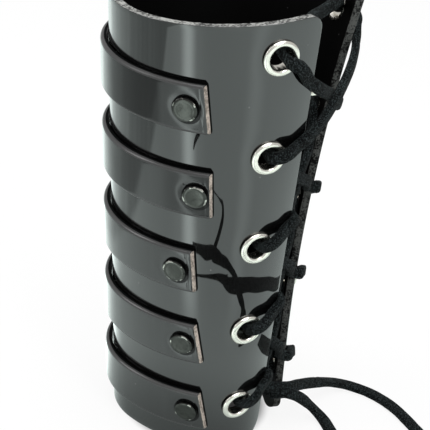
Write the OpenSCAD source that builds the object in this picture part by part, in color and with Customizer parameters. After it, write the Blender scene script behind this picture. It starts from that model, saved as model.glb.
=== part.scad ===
// Laced forearm guard: one wrapped leather sheet, five riveted bands, a lace through five pairs of eyelets.
// Millimetres. Z is up, the closed side faces -Y, the laced gap faces +Y, the wrist rim lies on Z = 0.

/* [Sheet] */
// Height of the sheet on the line opposite the gap
sheet_height = 188; // [150:1:230]
// How much higher the elbow rim stands at the gap than at the front
rim_rise = 7.5; // [0:0.5:15]
// Thickness of the sheet
sheet_thickness = 3.2; // [2:0.1:5]
// Half of the wrap at the elbow, measured round the outer face
elbow_half = 127; // [100:1:150]
// Half of the wrap at the wrist, measured round the outer face
wrist_half = 98; // [75:1:120]
// Distance of the front line from the middle axis at the elbow
elbow_front = 46.5; // [35:0.5:60]
// Distance of the front line from the middle axis at the wrist
wrist_front = 38.5; // [28:0.5:50]
// Radius of the sheet's corners at the elbow end
top_corner = 6; // [1:0.5:12]
// Radius of the sheet's corners at the wrist end
bottom_corner = 9; // [1:0.5:14]
// How far the left flap leans out at the elbow end
lean_top = 2.3; // [0:0.1:4]
// How far the left flap leans out at the wrist end
lean_bottom = 6; // [0:0.1:7]
// How far the lace pulls the left flap in between its ends
lean_in = 1.7; // [0:0.1:3]

/* [Bands] */
// Width of each band
band_width = 19; // [14:0.5:26]
// Thickness of each band
band_thickness = 2.7; // [1.5:0.1:4]
// How much shorter the outer face is than the inner at each slanted end
band_slant = 2; // [0.5:0.1:3]
// Height of the lowest band's middle
band_first = 21.3; // [15:0.1:30]
// Distance from one band to the next
band_pitch = 34.85; // [28:0.05:42]

/* [Rivets] */
// Outer diameter of the visible rivet caps
rivet_cap = 10; // [7:0.5:13]
// Diameter of the rivet posts
rivet_post = 3; // [2:0.1:4]

/* [Eyelets] */
// Height of the lowest eyelets
eyelet_first = 22.6; // [15:0.1:30]
// Distance from one eyelet to the next
eyelet_pitch = 39.5; // [30:0.5:45]
// Distance from an eyelet's centre to the cut edge of its flap
eyelet_edge = 15.8; // [11:0.1:20]
// Outer diameter of the rolled rims
eyelet_rim = 13; // [11:0.5:16]
// Inner diameter of the barrels
eyelet_bore = 8.4; // [7:0.1:10]

/* [Lace] */
// Thickness of the lace
lace_diameter = 3.2; // [2:0.1:3.4]
// Whole length of the lace
lace_length = 1500; // [1300:10:1800]
// Outer radius of each wound-up free end
coil_radius = 22; // [18:1:26]
// Distance between neighbouring turns of a wound-up end
coil_pitch = 3.9; // [3.6:0.1:5]

/* [Hidden] */
levels = 5;
elbow_turns = [47, 57, 50];
wrist_turns = [68, 31, 79];
band_gap = 0.4;
band_out = band_gap + band_thickness;
// Distances from the cut edge of the flap, one for each band: its end at its two long edges, and its rivet
band_ends_top = [41.65, 36.38, 39.5, 35.73, 31.45];
band_ends_bottom = [36.02, 33.05, 37.07, 31.8, 27.42];
rivet_places = [46.89, 40.91, 45.84, 40.76, 36.59];
lace_r = lace_diameter/2;
lace_sides = 8;
lace_clear = 0.2;
cross_gap = 3.5;
barrel_wall = 0.4;
rim_height = 1.2;
petal_r = 5.8;
petal_h = 0.9;
leather_red = [0.05, 0.05, 0.055];
band_red = [0.07, 0.07, 0.07];
lace_grey = [0.10, 0.10, 0.12];
nickel = [0.80, 0.79, 0.75];
gunmetal = [0.30, 0.30, 0.31];

function band_z(i) = band_first + band_pitch*(levels - i);
function eyelet_z(i) = eyelet_first + eyelet_pitch*(levels - i);
function half_at(z) = wrist_half + (elbow_half - wrist_half)*z/sheet_height;
function sign_of(s) = s < 0 ? -1 : 1;

// A cross-section is three arcs a side, each a third of the half wrap; s runs from -1 to 1 round the sheet.
function arc_x(r, h0, h1) = r*(sin(h1) - sin(h0));
function arc_y(r, h0, h1) = r*(cos(h0) - cos(h1));
function section(half, turns, front, s) = let(
    a = abs(s)*3,
    f1 = min(a, 1),
    f2 = min(max(a - 1, 0), 1),
    f3 = max(a - 2, 0),
    h1 = turns[0]*f1,
    h2 = turns[0] + turns[1]*f2,
    h3 = turns[0] + turns[1] + turns[2]*f3,
    k = half/3*180/PI,
    x = arc_x(k/turns[0], 0, h1) + arc_x(k/turns[1], turns[0], h2)
      + arc_x(k/turns[2], turns[0] + turns[1], h3),
    y = arc_y(k/turns[0], 0, h1) + arc_y(k/turns[1], turns[0], h2)
      + arc_y(k/turns[2], turns[0] + turns[1], h3),
    heading = h1 + turns[1]*f2 + turns[2]*f3)
    [sign_of(s)*x, y - front, sign_of(s)*heading];
function elbow_at(s) = section(elbow_half, elbow_turns, elbow_front, s);
function wrist_at(s) = section(wrist_half, wrist_turns, wrist_front, s);
// The left flap leans: nothing to lean_from, then a bend to lean_full, then straight to the edge.
lean_from = 0.45;
lean_full = 0.75;
lean_level = 110;
lean_bend = 1/((lean_full - lean_from)*(2 - lean_full - lean_from));
function lean_part(s) = s > -lean_from ? 0 : s > -lean_full ? lean_bend*(s + lean_from)*(s + lean_from)
    : 1 - 2*lean_bend*(lean_full - lean_from)*(1 + s);
function lean_way(s) = s > -lean_from ? 0 : s > -lean_full ? 2*lean_bend*(s + lean_from)
    : -2*lean_bend*(lean_full - lean_from);
function lean_reach(z) = z > lean_level ? sheet_height - lean_level : -lean_level;
function lean_end(z) = lean_in + (z > lean_level ? lean_top : lean_bottom);
function lean_at(z) = let(f = (z - lean_level)/lean_reach(z)) lean_end(z)*f*f - lean_in;
function lean_slope(z) = 2*lean_end(z)*(z - lean_level)/(lean_reach(z)*lean_reach(z));
function along_at(s, z) = let(w = wrist_at(s), e = elbow_at(s), k = z/sheet_height)
    [cos(w[2]), sin(w[2])]*wrist_half*(1 - k) + [cos(e[2]), sin(e[2])]*elbow_half*k + [0, lean_at(z)*lean_way(s)];
function tangent_at(s, z) = along_at(s, z)/norm(along_at(s, z));
function outer_at(s, z) = let(w = wrist_at(s), e = elbow_at(s), k = z/sheet_height)
    [w[0]*(1 - k) + e[0]*k, w[1]*(1 - k) + e[1]*k + lean_at(z)*lean_part(s), z];
// Point at a level offset from the outer face, for the sheet and the bands.
function skin(s, z, off) = let(t = tangent_at(s, z)) outer_at(s, z) + [t[1], -t[0], 0]*off;
// Outward normal of the outer face.
function normal_at(s, z) = let(w = wrist_at(s), e = elbow_at(s), t = tangent_at(s, z),
    rise = (e[1] - w[1])/sheet_height + lean_slope(z)*lean_part(s),
    n = [t[1], -t[0], t[0]*rise - t[1]*(e[0] - w[0])/sheet_height]) n/norm(n);
// Point at a distance d from the cut edge of a flap, off the outer face.
function flap(side, d, z, off) = let(s = side*(1 - d/half_at(z))) outer_at(s, z) + normal_at(s, z)*off;
function flap_radius(z) = let(k = z/sheet_height)
    (wrist_half/3*180/PI/wrist_turns[2])*(1 - k) + (elbow_half/3*180/PI/elbow_turns[2])*k;
function sag(r, big) = big - sqrt(big*big - r*r);

function lerp3(a, b, f) = a + (b - a)*f;
function unit(v) = v/norm(v);
function drop_at(r, d) = d >= r ? 0 : r - sqrt(r*r - (r - d)*(r - d));

// Sheet
edge_steps = [0, 0.7, 2, 4, 6.5, 9.5];
edge_start = 1 - 9.5/110;
sheet_span = 50;
sheet_rows = 8;
sheet_columns = concat(
    [for (d = edge_steps) -(1 - d/110)],
    [for (i = [1 : sheet_span - 1]) edge_start*(2*i/sheet_span - 1)],
    [for (i = [len(edge_steps) - 1 : -1 : 0]) 1 - edge_steps[i]/110]);
function sheet_low(s) = drop_at(bottom_corner, (1 - abs(s))*wrist_half);
function sheet_top(s) = sheet_height + rim_rise*s*s - drop_at(top_corner, (1 - abs(s))*elbow_half);
function sheet_z(s, k) = sheet_low(s) + (sheet_top(s) - sheet_low(s))*k/sheet_rows;
sheet_rings = [for (s = sheet_columns) concat(
    [for (k = [0 : sheet_rows]) skin(s, sheet_z(s, k), 0)],
    [for (k = [sheet_rows : -1 : 0]) skin(s, sheet_z(s, k), -sheet_thickness)])];

// Sides of a swept solid from its rings, as triangles.
function side_faces(n, m) = [for (j = [0 : n - 2], k = [0 : m - 1], h = [0, 1])
    let(a = j*m + k, b = a + m, d = j*m + (k + 1) % m, c = d + m)
    h == 0 ? [a, d, c] : [a, c, b]];
// End faces of a ring made of two facing rows of q + 1 points.
function strip_ends(n, q) = let(m = 2*q + 2, e = (n - 1)*m) concat(
    [for (k = [0 : q - 1], h = [0, 1])
        h == 0 ? [k + 1, k, m - 1 - k] : [k + 1, m - 1 - k, m - 2 - k]],
    [for (k = [0 : q - 1], h = [0, 1])
        h == 0 ? [e + k, e + k + 1, e + m - 1 - k] : [e + k + 1, e + m - 2 - k, e + m - 1 - k]]);
function fan_ends(n, m) = let(e = (n - 1)*m) concat(
    [for (k = [1 : m - 2]) [0, k + 1, k]],
    [for (k = [1 : m - 2]) [e, e + k, e + k + 1]]);
function flat(rings) = [for (r = rings, p = r) p];

module swept_strip(rings, q) {
    polyhedron(flat(rings), concat(side_faces(len(rings), 2*q + 2), strip_ends(len(rings), q)));
}

module tube(rings) {
    polyhedron(flat(rings), concat(side_faces(len(rings), lace_sides), fan_ends(len(rings), lace_sides)));
}

// Moves a child modelled on Z = 0 along +Z onto the outer face at a place.
module on_face(s, z, off) {
    n = normal_at(s, z);
    p = outer_at(s, z) + n*off;
    translate(p) rotate([0, acos(n[2]), atan2(n[1], n[0])]) children();
}

function rivet_s(i) = 1 - rivet_places[i - 1]/half_at(band_z(i));
function eyelet_s(i) = 1 - eyelet_edge/half_at(eyelet_z(i));

// Lace, one continuous path through every eyelet
function petal_sag(i) = sag(petal_r, flap_radius(eyelet_z(i)) - sheet_thickness);
// Point near an eyelet: r towards the gap from its axis, h over the face at the axis.
function by_hole(side, i, r, h, dz) = let(z = eyelet_z(i) + dz)
    flap(side, eyelet_edge - r, z, h + r*r/(2*flap_radius(z)));
function hole_out(side, i, up) = [
    by_hole(side, i, 5.8, 3, up*0.5),
    by_hole(side, i, 4.2, 2.9, up*0.3),
    by_hole(side, i, 2.8, 1.85, up*0.1)];
function hole_mid(side, i) = [
    by_hole(side, i, 2.25, 0.1, 0),
    by_hole(side, i, 2.25, -sheet_thickness, 0)];
function hole_in(side, i, up) = let(p = sheet_thickness + petal_sag(i)) [
    by_hole(side, i, 2.6, -p - 1.85, up*0.1),
    by_hole(side, i, 4.1, -p - petal_h - 1.9, up*0.3),
    by_hole(side, i, 5.8, -p - petal_h - 1.8, up*0.5)];
function rev(v) = [for (i = [len(v) - 1 : -1 : 0]) v[i]];
function edge_y(z) = (outer_at(1, z)[1] + outer_at(-1, z)[1])/2;
lace_in = -(sheet_thickness + lace_r + lace_clear);
lace_out = lace_r + lace_clear;
lace_drop_in = 12;
lace_drop_out = 7;
bar_rise = 4.2;
bar_bow = 1.6;
top_drop = [12.5, 5.4];
over_drop = [8.6, 6.4];

// From inside flap a at level i, through the gap, round the edge of flap b, to its eyelet at level i + 1.
function diagonal(a, i) = let(b = -a, za = eyelet_z(i) - lace_drop_in, zb = eyelet_z(i + 1) + lace_drop_out,
    zm = (za + zb)/2, ym = edge_y(zm) - 1.4 + a*cross_gap/2) concat(
    hole_in(a, i, -2),
    [flap(a, 4.5, za + 3.4, lace_in - 0.3), flap(a, 0, za, lace_in)],
    [[0, ym, zm]],
    [flap(b, -lace_out - 0.1, zb + 0.4, -0.5), flap(b, -1.25, zb + 0.1, 1.3), flap(b, 0.4, zb - 0.3, lace_out),
     flap(b, 4.5, zb - 3, lace_out + 0.1)],
    hole_out(b, i + 1, 2.5), hole_mid(b, i + 1));
// Between the two highest pairs the lace crosses outside; lift is how far its middle stands off the edges.
function first_diagonal(a, drops, lift) = let(b = -a, za = eyelet_z(1) - drops[0], zb = eyelet_z(2) + drops[1],
    zm = (za + zb)/2) concat(
    rev(hole_mid(a, 1)), rev(hole_out(a, 1, -2.5)),
    [flap(a, 4.5, za + 3.4, lace_out + 0.1), flap(a, 0, za, lace_out + 0.05)],
    [[0, edge_y(zm) + lift, zm]],
    [flap(b, 0, zb, lace_out + 0.05), flap(b, 4.5, zb - 2.2, lace_out + 0.1)],
    hole_out(b, 2, 2.5), hole_mid(b, 2));
bar_y = (hole_in(1, 1, 7)[2][1] + hole_in(-1, 1, 7)[2][1])/2;
function half_lace(a, drops, lift, low) = concat(
    [for (x = [0, 7]) [a*x, bar_y - bar_bow*(1 - x/14), eyelet_z(1) + bar_rise]],
    rev(hole_in(a, 1, 7)),
    first_diagonal(a, drops, lift),
    diagonal(-a, 2), diagonal(a, 3), diagonal(-a, 4),
    hole_in(a, 5, 0),
    [flap(a, 5, eyelet_z(5) + low, lace_in - 0.2)]);
right_half = half_lace(1, top_drop, 1.9, -1.5);
left_half = half_lace(-1, over_drop, 5.4, -3);
right_start = right_half[len(right_half) - 1];
left_start = left_half[len(left_half) - 1];

// Free ends: from the last eyelets out of the gap, down to the ground and away to where each is wound up.
right_route = [[4.8, 28.5, 21.2], [-0.7, 34.6, 19.2], [-6.7, 38.9, 17], [-13, 41, 14.6], [-19.8, 43.2, 11.8],
    [-26.6, 46, 8.9], [-32.8, 49.2, 6.2], [-37.4, 53, 4], [-40.1, 57.2, 2.6], [-41, 61.6, 1.95], [-40.7, 66.2, 1.9],
    [-38.3, 74.6, 1.9], [-34.4, 82, 1.9], [-29.4, 88.4, 1.9], [-24.4, 94.2, 1.9], [-17, 103, 1.9], [-8, 115, 2.1]];
left_route = [[-5, 29, 14.6], [-1, 33.8, 15.5], [-2, 39, 17], [-5, 42.6, 15], [-9, 46, 10.8],
    [-12, 49.4, 6], [-11.8, 54.4, 2.4], [-6.2, 60, 1.9], [0, 65.4, 1.9], [6, 71.4, 2]];
coil_z = 2.45;
right_coil = [17.6, 115.2];
left_coil = [28, 62];

function steps(v) = [for (i = [0 : len(v) - 2]) norm(v[i + 1] - v[i])];
function total(v, i = 0) = i >= len(v) ? 0 : v[i] + total(v, i + 1);
// Direction at point i of a chain, weighted so that close points don't overshoot.
function way(v, i) = i == 0 ? unit(v[1] - v[0])
    : i == len(v) - 1 ? unit(v[i] - v[i - 1])
    : let(d0 = norm(v[i] - v[i - 1]), d1 = norm(v[i + 1] - v[i]))
      ((v[i + 1] - v[i])/d1*d0 + (v[i] - v[i - 1])/d0*d1)/(d0 + d1);
function bow(p, q, m, n, f) = p*(2*f*f*f - 3*f*f + 1) + m*(f*f*f - 2*f*f + f)
    + q*(3*f*f - 2*f*f*f) + n*(f*f*f - f*f);
function smooth(v, step) = [for (i = [0 : len(v) - 2])
    let(d = norm(v[i + 1] - v[i]), n = max(1, round(d/step)), m = way(v, i)*d, w = way(v, i + 1)*d)
    for (j = [0 : n - 1]) bow(v[i], v[i + 1], m, w, j/n)];

// A free end meets its coil on the circle at this direction, running clockwise seen from above.
coil_entry = 126.9;
function coil_join(c) = [c[0] + coil_radius*cos(coil_entry), c[1] + coil_radius*sin(coil_entry), coil_z];
coil_way = [sin(coil_entry), -cos(coil_entry), 0];
function coil_loops(length) = (coil_radius - sqrt(coil_radius*coil_radius - coil_pitch*length/PI))/coil_pitch;
coil_rings = 24;
function coil_path(c, length) = let(loops = coil_loops(length), n = ceil(loops*coil_rings),
    a1 = coil_entry - 360*loops, r1 = coil_radius - coil_pitch*loops) concat(
    [for (i = [1 : n]) let(f = i/n, a = coil_entry - 360*loops*f, r = coil_radius - coil_pitch*loops*f)
        [c[0] + r*cos(a), c[1] + r*sin(a), coil_z]],
    [[c[0] + r1*cos(a1) + lace_diameter*sin(a1), c[1] + r1*sin(a1) - lace_diameter*cos(a1), coil_z]]);
function free_points(start, route, c) = concat([start], route, [coil_join(c) - coil_way*lace_diameter]);
function free_chain(start, route, c) = let(v = free_points(start, route, c)) concat(smooth(v, 7), [v[len(v) - 1]]);
held_points = concat(rev(left_half), without_first(right_half));
held_chain = concat(smooth(held_points, 4.6), [right_start]);
right_chain = free_chain(right_start, right_route, right_coil);
left_chain = free_chain(left_start, left_route, left_coil);
held_length = total(steps(held_chain));
right_length = total(steps(right_chain)) + lace_diameter;
left_length = total(steps(left_chain)) + lace_diameter;
right_wound = (lace_length - held_length)/2 - right_length - lace_diameter;
left_wound = (lace_length - held_length)/2 - left_length - lace_diameter;
right_path = concat([coil_join(right_coil)], coil_path(right_coil, right_wound));
left_path = concat([coil_join(left_coil)], coil_path(left_coil, left_wound));
function without_first(v) = [for (i = [1 : len(v) - 1]) v[i]];
function without_last(v) = [for (i = [0 : len(v) - 2]) v[i]];
lace_chain = concat(rev(left_path), rev(left_chain), without_first(without_last(held_chain)), right_chain, right_path);
cut1 = len(left_path) - 1;
cut2 = cut1 + len(left_chain);
cut3 = cut2 + len(held_chain) - 1;
cut4 = cut3 + len(right_chain) - 1;

// Rings of the whole lace, carried along the chain without twisting.
function across(u, t) = unit(u - t*(u*t));
lace_ways = [for (i = [0 : len(lace_chain) - 1]) i == 0 ? unit(lace_chain[1] - lace_chain[0])
    : i == len(lace_chain) - 1 ? unit(lace_chain[i] - lace_chain[i - 1])
    : unit(unit(lace_chain[i + 1] - lace_chain[i]) + unit(lace_chain[i] - lace_chain[i - 1]))];
lace_ups = [for (i = 0, u = across([0, 0, 1], lace_ways[0]); i < len(lace_chain);
    i = i + 1, u = i < len(lace_chain) ? across(u, lace_ways[i]) : u) u];
lace_rings = [for (i = [0 : len(lace_chain) - 1]) let(t = lace_ways[i], u = lace_ups[i], v = cross(t, u))
    [for (k = [0 : lace_sides - 1]) let(a = -360*(k + 0.5)/lace_sides)
        lace_chain[i] + (u*cos(a) + v*sin(a))*lace_r]];
function part_of(a, b) = [for (i = [a : b]) lace_rings[i]];
held_rings = part_of(cut2 - 1, cut3);

// The object without its free ends is centred on Y = 0.
y_low = -max(elbow_front, wrist_front + (elbow_front - wrist_front)*(band_z(1) + band_width/2)/sheet_height + band_out);
y_high = max([for (r = held_rings, p = r) p[1]]);
y_shift = -(y_low + y_high)/2;
echo(y_shift = y_shift, held = held_length, right = right_length, left = left_length,
    right_wound = right_wound, left_wound = left_wound, loops = [coil_loops(right_wound), coil_loops(left_wound)],
    rings = [cut1, cut2, cut3, cut4, len(lace_rings)]);

module placed() {
    translate([0, y_shift, 0]) children();
}

// Sheet with its rivet and eyelet holes
module shell() {
    color(leather_red) placed() difference() {
        swept_strip(sheet_rings, sheet_rows);
        for (side = [-1, 1], i = [1 : levels]) {
            on_face(side*rivet_s(i), band_z(i), -sheet_thickness - 3)
                cylinder(h = sheet_thickness + 6, r = rivet_post/2 + 0.2, $fn = 24);
            on_face(side*eyelet_s(i), eyelet_z(i), -sheet_thickness - 3)
                cylinder(h = sheet_thickness + 6, r = eyelet_bore/2 + barrel_wall + 0.15, $fn = 32);
        }
    }
}

// One band, laid round the sheet, with its ends cut at a slant
module strap(i) {
    z0 = band_z(i) - band_width/2;
    z1 = band_z(i) + band_width/2;
    n = 40;
    low = 1 - band_ends_bottom[i - 1]/half_at(z0);
    high = 1 - band_ends_top[i - 1]/half_at(z1);
    low_out = low - band_slant/half_at(z0);
    high_out = high - band_slant/half_at(z1);
    rings = [for (j = [0 : n]) let(f = 2*j/n - 1)
        [skin(f*low_out, z0, band_out), skin(f*high_out, z1, band_out), skin(f*high, z1, band_gap),
         skin(f*low, z0, band_gap)]];
    color(band_red) placed() difference() {
        swept_strip(rings, 1);
        for (side = [-1, 1]) on_face(side*rivet_s(i), band_z(i), -2)
            cylinder(h = band_out + 4, r = rivet_post/2 + 0.2, $fn = 24);
    }
}

// Domed cap on the band, with a blind bore for the post
module rivet_outer(side, i) {
    r = rivet_cap/2;
    color(gunmetal) placed() on_face(side*rivet_s(i), band_z(i), band_out + 0.02) rotate_extrude($fn = 32)
        polygon([[0, 0.75], [rivet_post/2 + 0.1, 0.75], [rivet_post/2 + 0.1, 0], [r - 0.4, 0], [r, 0.4],
            [r - 0.2, 0.85], [r - 0.9, 1.2], [r - 1.7, 1.35], [0, 1.4]]);
}

// Inner cap and post, through the sheet and the band
module rivet_inner(side, i) {
    r = rivet_cap/2 - 0.5;
    seat = -(sheet_thickness + band_out + sag(r, flap_radius(band_z(i)) - sheet_thickness));
    color(gunmetal) placed() on_face(side*rivet_s(i), band_z(i), band_out) rotate_extrude($fn = 32)
        polygon([[0, seat - 1], [r - 0.5, seat - 0.9], [r, seat - 0.5], [r - 0.1, seat],
            [rivet_post/2, seat], [rivet_post/2, 0.6], [0, 0.7]]);
}

// Rolled rim outside, barrel through the sheet, split and spread petals inside
module eyelet(side, i) {
    b = eyelet_bore/2;
    r = eyelet_rim/2;
    w = b + barrel_wall;
    seat = -(sheet_thickness + petal_sag(i));
    color(nickel) placed() on_face(side*eyelet_s(i), eyelet_z(i), 0.02) difference() {
        rotate_extrude($fn = 40)
            polygon([[b, seat - 0.4], [b, 0.5], [b + 0.3, 0.95], [(b + r)/2, rim_height], [r - 0.4, 0.9], [r, 0.4],
                [r, 0], [w, 0], [w, seat], [petal_r, seat], [petal_r, seat - 0.35], [w + 0.4, seat - petal_h],
                [b + 0.1, seat - 0.8]]);
        for (a = [22.5 : 45 : 337.5]) rotate([0, 0, a])
            translate([petal_r - 0.3, 0, seat - 0.6]) cube([1.6, 0.7, 1.1], center = true);
    }
}

module lacing() {
    color(lace_grey) placed() tube(held_rings);
}
module lace_tail_right() {
    color(lace_grey) placed() tube(part_of(cut3, cut4 + 1));
}
module lace_tail_left() {
    color(lace_grey) placed() tube(part_of(cut1, cut2 - 1));
}
module lace_coil_right() {
    color(lace_grey) placed() tube(part_of(cut4 + 1, len(lace_rings) - 1));
}
module lace_coil_left() {
    color(lace_grey) placed() tube(part_of(0, cut1));
}

// Flat band round the turns of a wound-up end
module coil_tie(c, wound) {
    loops = coil_loops(wound);
    outer = coil_radius - coil_pitch*0.5;
    inner = coil_radius - coil_pitch*(0.5 + floor(loops - 0.5));
    wide = outer - inner + lace_diameter + 0.3;
    color(lace_grey) placed() translate([c[0], c[1], coil_z]) rotate([0, 0, coil_entry - 180])
        translate([(outer + inner)/2, 0, 0]) difference() {
            cube([wide + 1.6, 5, lace_diameter + 1.6], center = true);
            cube([wide, 6, lace_diameter], center = true);
        }
}
module coil_tie_right() {
    coil_tie(right_coil, right_wound);
}
module coil_tie_left() {
    coil_tie(left_coil, left_wound);
}

shell();
strap(1);  // strap_1
strap(2);  // strap_2
strap(3);  // strap_3
strap(4);  // strap_4
strap(5);  // strap_5
rivet_outer(1, 1);  // rivet_cap_right_1
rivet_outer(1, 2);  // rivet_cap_right_2
rivet_outer(1, 3);  // rivet_cap_right_3
rivet_outer(1, 4);  // rivet_cap_right_4
rivet_outer(1, 5);  // rivet_cap_right_5
rivet_outer(-1, 1);  // rivet_cap_left_1
rivet_outer(-1, 2);  // rivet_cap_left_2
rivet_outer(-1, 3);  // rivet_cap_left_3
rivet_outer(-1, 4);  // rivet_cap_left_4
rivet_outer(-1, 5);  // rivet_cap_left_5
rivet_inner(1, 1);  // rivet_post_right_1
rivet_inner(1, 2);  // rivet_post_right_2
rivet_inner(1, 3);  // rivet_post_right_3
rivet_inner(1, 4);  // rivet_post_right_4
rivet_inner(1, 5);  // rivet_post_right_5
rivet_inner(-1, 1);  // rivet_post_left_1
rivet_inner(-1, 2);  // rivet_post_left_2
rivet_inner(-1, 3);  // rivet_post_left_3
rivet_inner(-1, 4);  // rivet_post_left_4
rivet_inner(-1, 5);  // rivet_post_left_5
eyelet(1, 1);  // eyelet_right_1
eyelet(1, 2);  // eyelet_right_2
eyelet(1, 3);  // eyelet_right_3
eyelet(1, 4);  // eyelet_right_4
eyelet(1, 5);  // eyelet_right_5
eyelet(-1, 1);  // eyelet_left_1
eyelet(-1, 2);  // eyelet_left_2
eyelet(-1, 3);  // eyelet_left_3
eyelet(-1, 4);  // eyelet_left_4
eyelet(-1, 5);  // eyelet_left_5
lacing();
lace_tail_right();
lace_tail_left();
lace_coil_right();
lace_coil_left();
coil_tie_right();
coil_tie_left();
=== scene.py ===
"""A laced forearm guard of black patent leather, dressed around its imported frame.

One sheet is wrapped to a tapered tube that stays open down the back. Five bands are riveted
round its front, ten nickel eyelets run down the two flaps, and one suede lace draws them
together and lies on the ground with both ends.

Sizes are millimetres in this file and become metres where a mesh is made.
"""
from __future__ import annotations

import logging
import math
import random
from dataclasses import dataclass
from enum import Enum
from typing import Callable, Iterable, Sequence

import bmesh
import bpy
from mathutils import Matrix, Vector, noise

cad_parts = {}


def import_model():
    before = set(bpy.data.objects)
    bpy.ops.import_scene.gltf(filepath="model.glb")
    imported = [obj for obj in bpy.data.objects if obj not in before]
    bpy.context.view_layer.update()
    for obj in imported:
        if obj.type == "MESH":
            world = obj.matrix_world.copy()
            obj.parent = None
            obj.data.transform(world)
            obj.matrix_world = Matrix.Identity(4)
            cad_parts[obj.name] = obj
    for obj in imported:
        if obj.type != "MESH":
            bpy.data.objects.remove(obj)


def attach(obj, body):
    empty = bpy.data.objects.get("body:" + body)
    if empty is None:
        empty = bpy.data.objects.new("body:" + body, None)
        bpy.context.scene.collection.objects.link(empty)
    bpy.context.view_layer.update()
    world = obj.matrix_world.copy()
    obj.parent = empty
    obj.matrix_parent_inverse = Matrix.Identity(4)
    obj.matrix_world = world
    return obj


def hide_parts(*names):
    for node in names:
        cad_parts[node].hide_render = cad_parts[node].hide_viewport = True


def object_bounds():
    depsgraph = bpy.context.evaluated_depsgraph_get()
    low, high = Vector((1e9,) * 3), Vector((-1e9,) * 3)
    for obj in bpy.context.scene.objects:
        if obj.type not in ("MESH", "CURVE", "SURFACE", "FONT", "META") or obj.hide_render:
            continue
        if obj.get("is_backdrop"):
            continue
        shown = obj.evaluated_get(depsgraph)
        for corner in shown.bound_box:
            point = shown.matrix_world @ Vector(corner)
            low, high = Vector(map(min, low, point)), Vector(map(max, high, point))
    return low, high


LOG = logging.getLogger("guard")
# Metres in a millimetre
MM = 0.001
# How far the form moves along Y so that the box of its footprint is centred, in millimetres
SHIFT_Y = 1.104
# Levels of bands and of eyelets; 1 is the highest
LEVELS = range(1, 6)
# The guard's one body
BODY = "root"
Point = tuple[float, float, float]
Colour = tuple[float, float, float]
Pair = tuple[float, float]
Value = "Val | float"


class Side(Enum):
    """The two flaps of the sheet, by the sign of their X."""

    RIGHT = 1
    LEFT = -1


def to_row(point: Sequence[float]) -> Vector:
    """Turns a point of the form's own millimetres into the row frame's metres."""
    return Vector((point[0] * MM, (point[1] + SHIFT_Y) * MM, point[2] * MM))


# Sizes shared by every piece


@dataclass(frozen=True)
class Section:
    """One end of the sheet's form: three arcs a side, each a third of the half wrap."""

    half: float
    turns: tuple[float, float, float]
    front: float

    def at(self, s: float) -> tuple[float, float, float]:
        """Finds a point of the section.

        Args:
            s: Place round the sheet, from -1 to 1.

        Returns:
            X, Y and heading in radians.
        """
        sign = -1.0 if s < 0 else 1.0
        a = abs(s) * 3.0
        third = self.half / 3.0
        x, y, heading = 0.0, -self.front, 0.0
        for k, degrees in enumerate(self.turns):
            part = max(a - k, 0.0) if k == 2 else min(max(a - k, 0.0), 1.0)
            if part <= 0.0:
                break
            turn = math.radians(degrees)
            radius = third / turn
            after = heading + turn * part
            x += radius * (math.sin(after) - math.sin(heading))
            y += radius * (math.cos(heading) - math.cos(after))
            heading = after
        return sign * x, y, sign * heading


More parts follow.
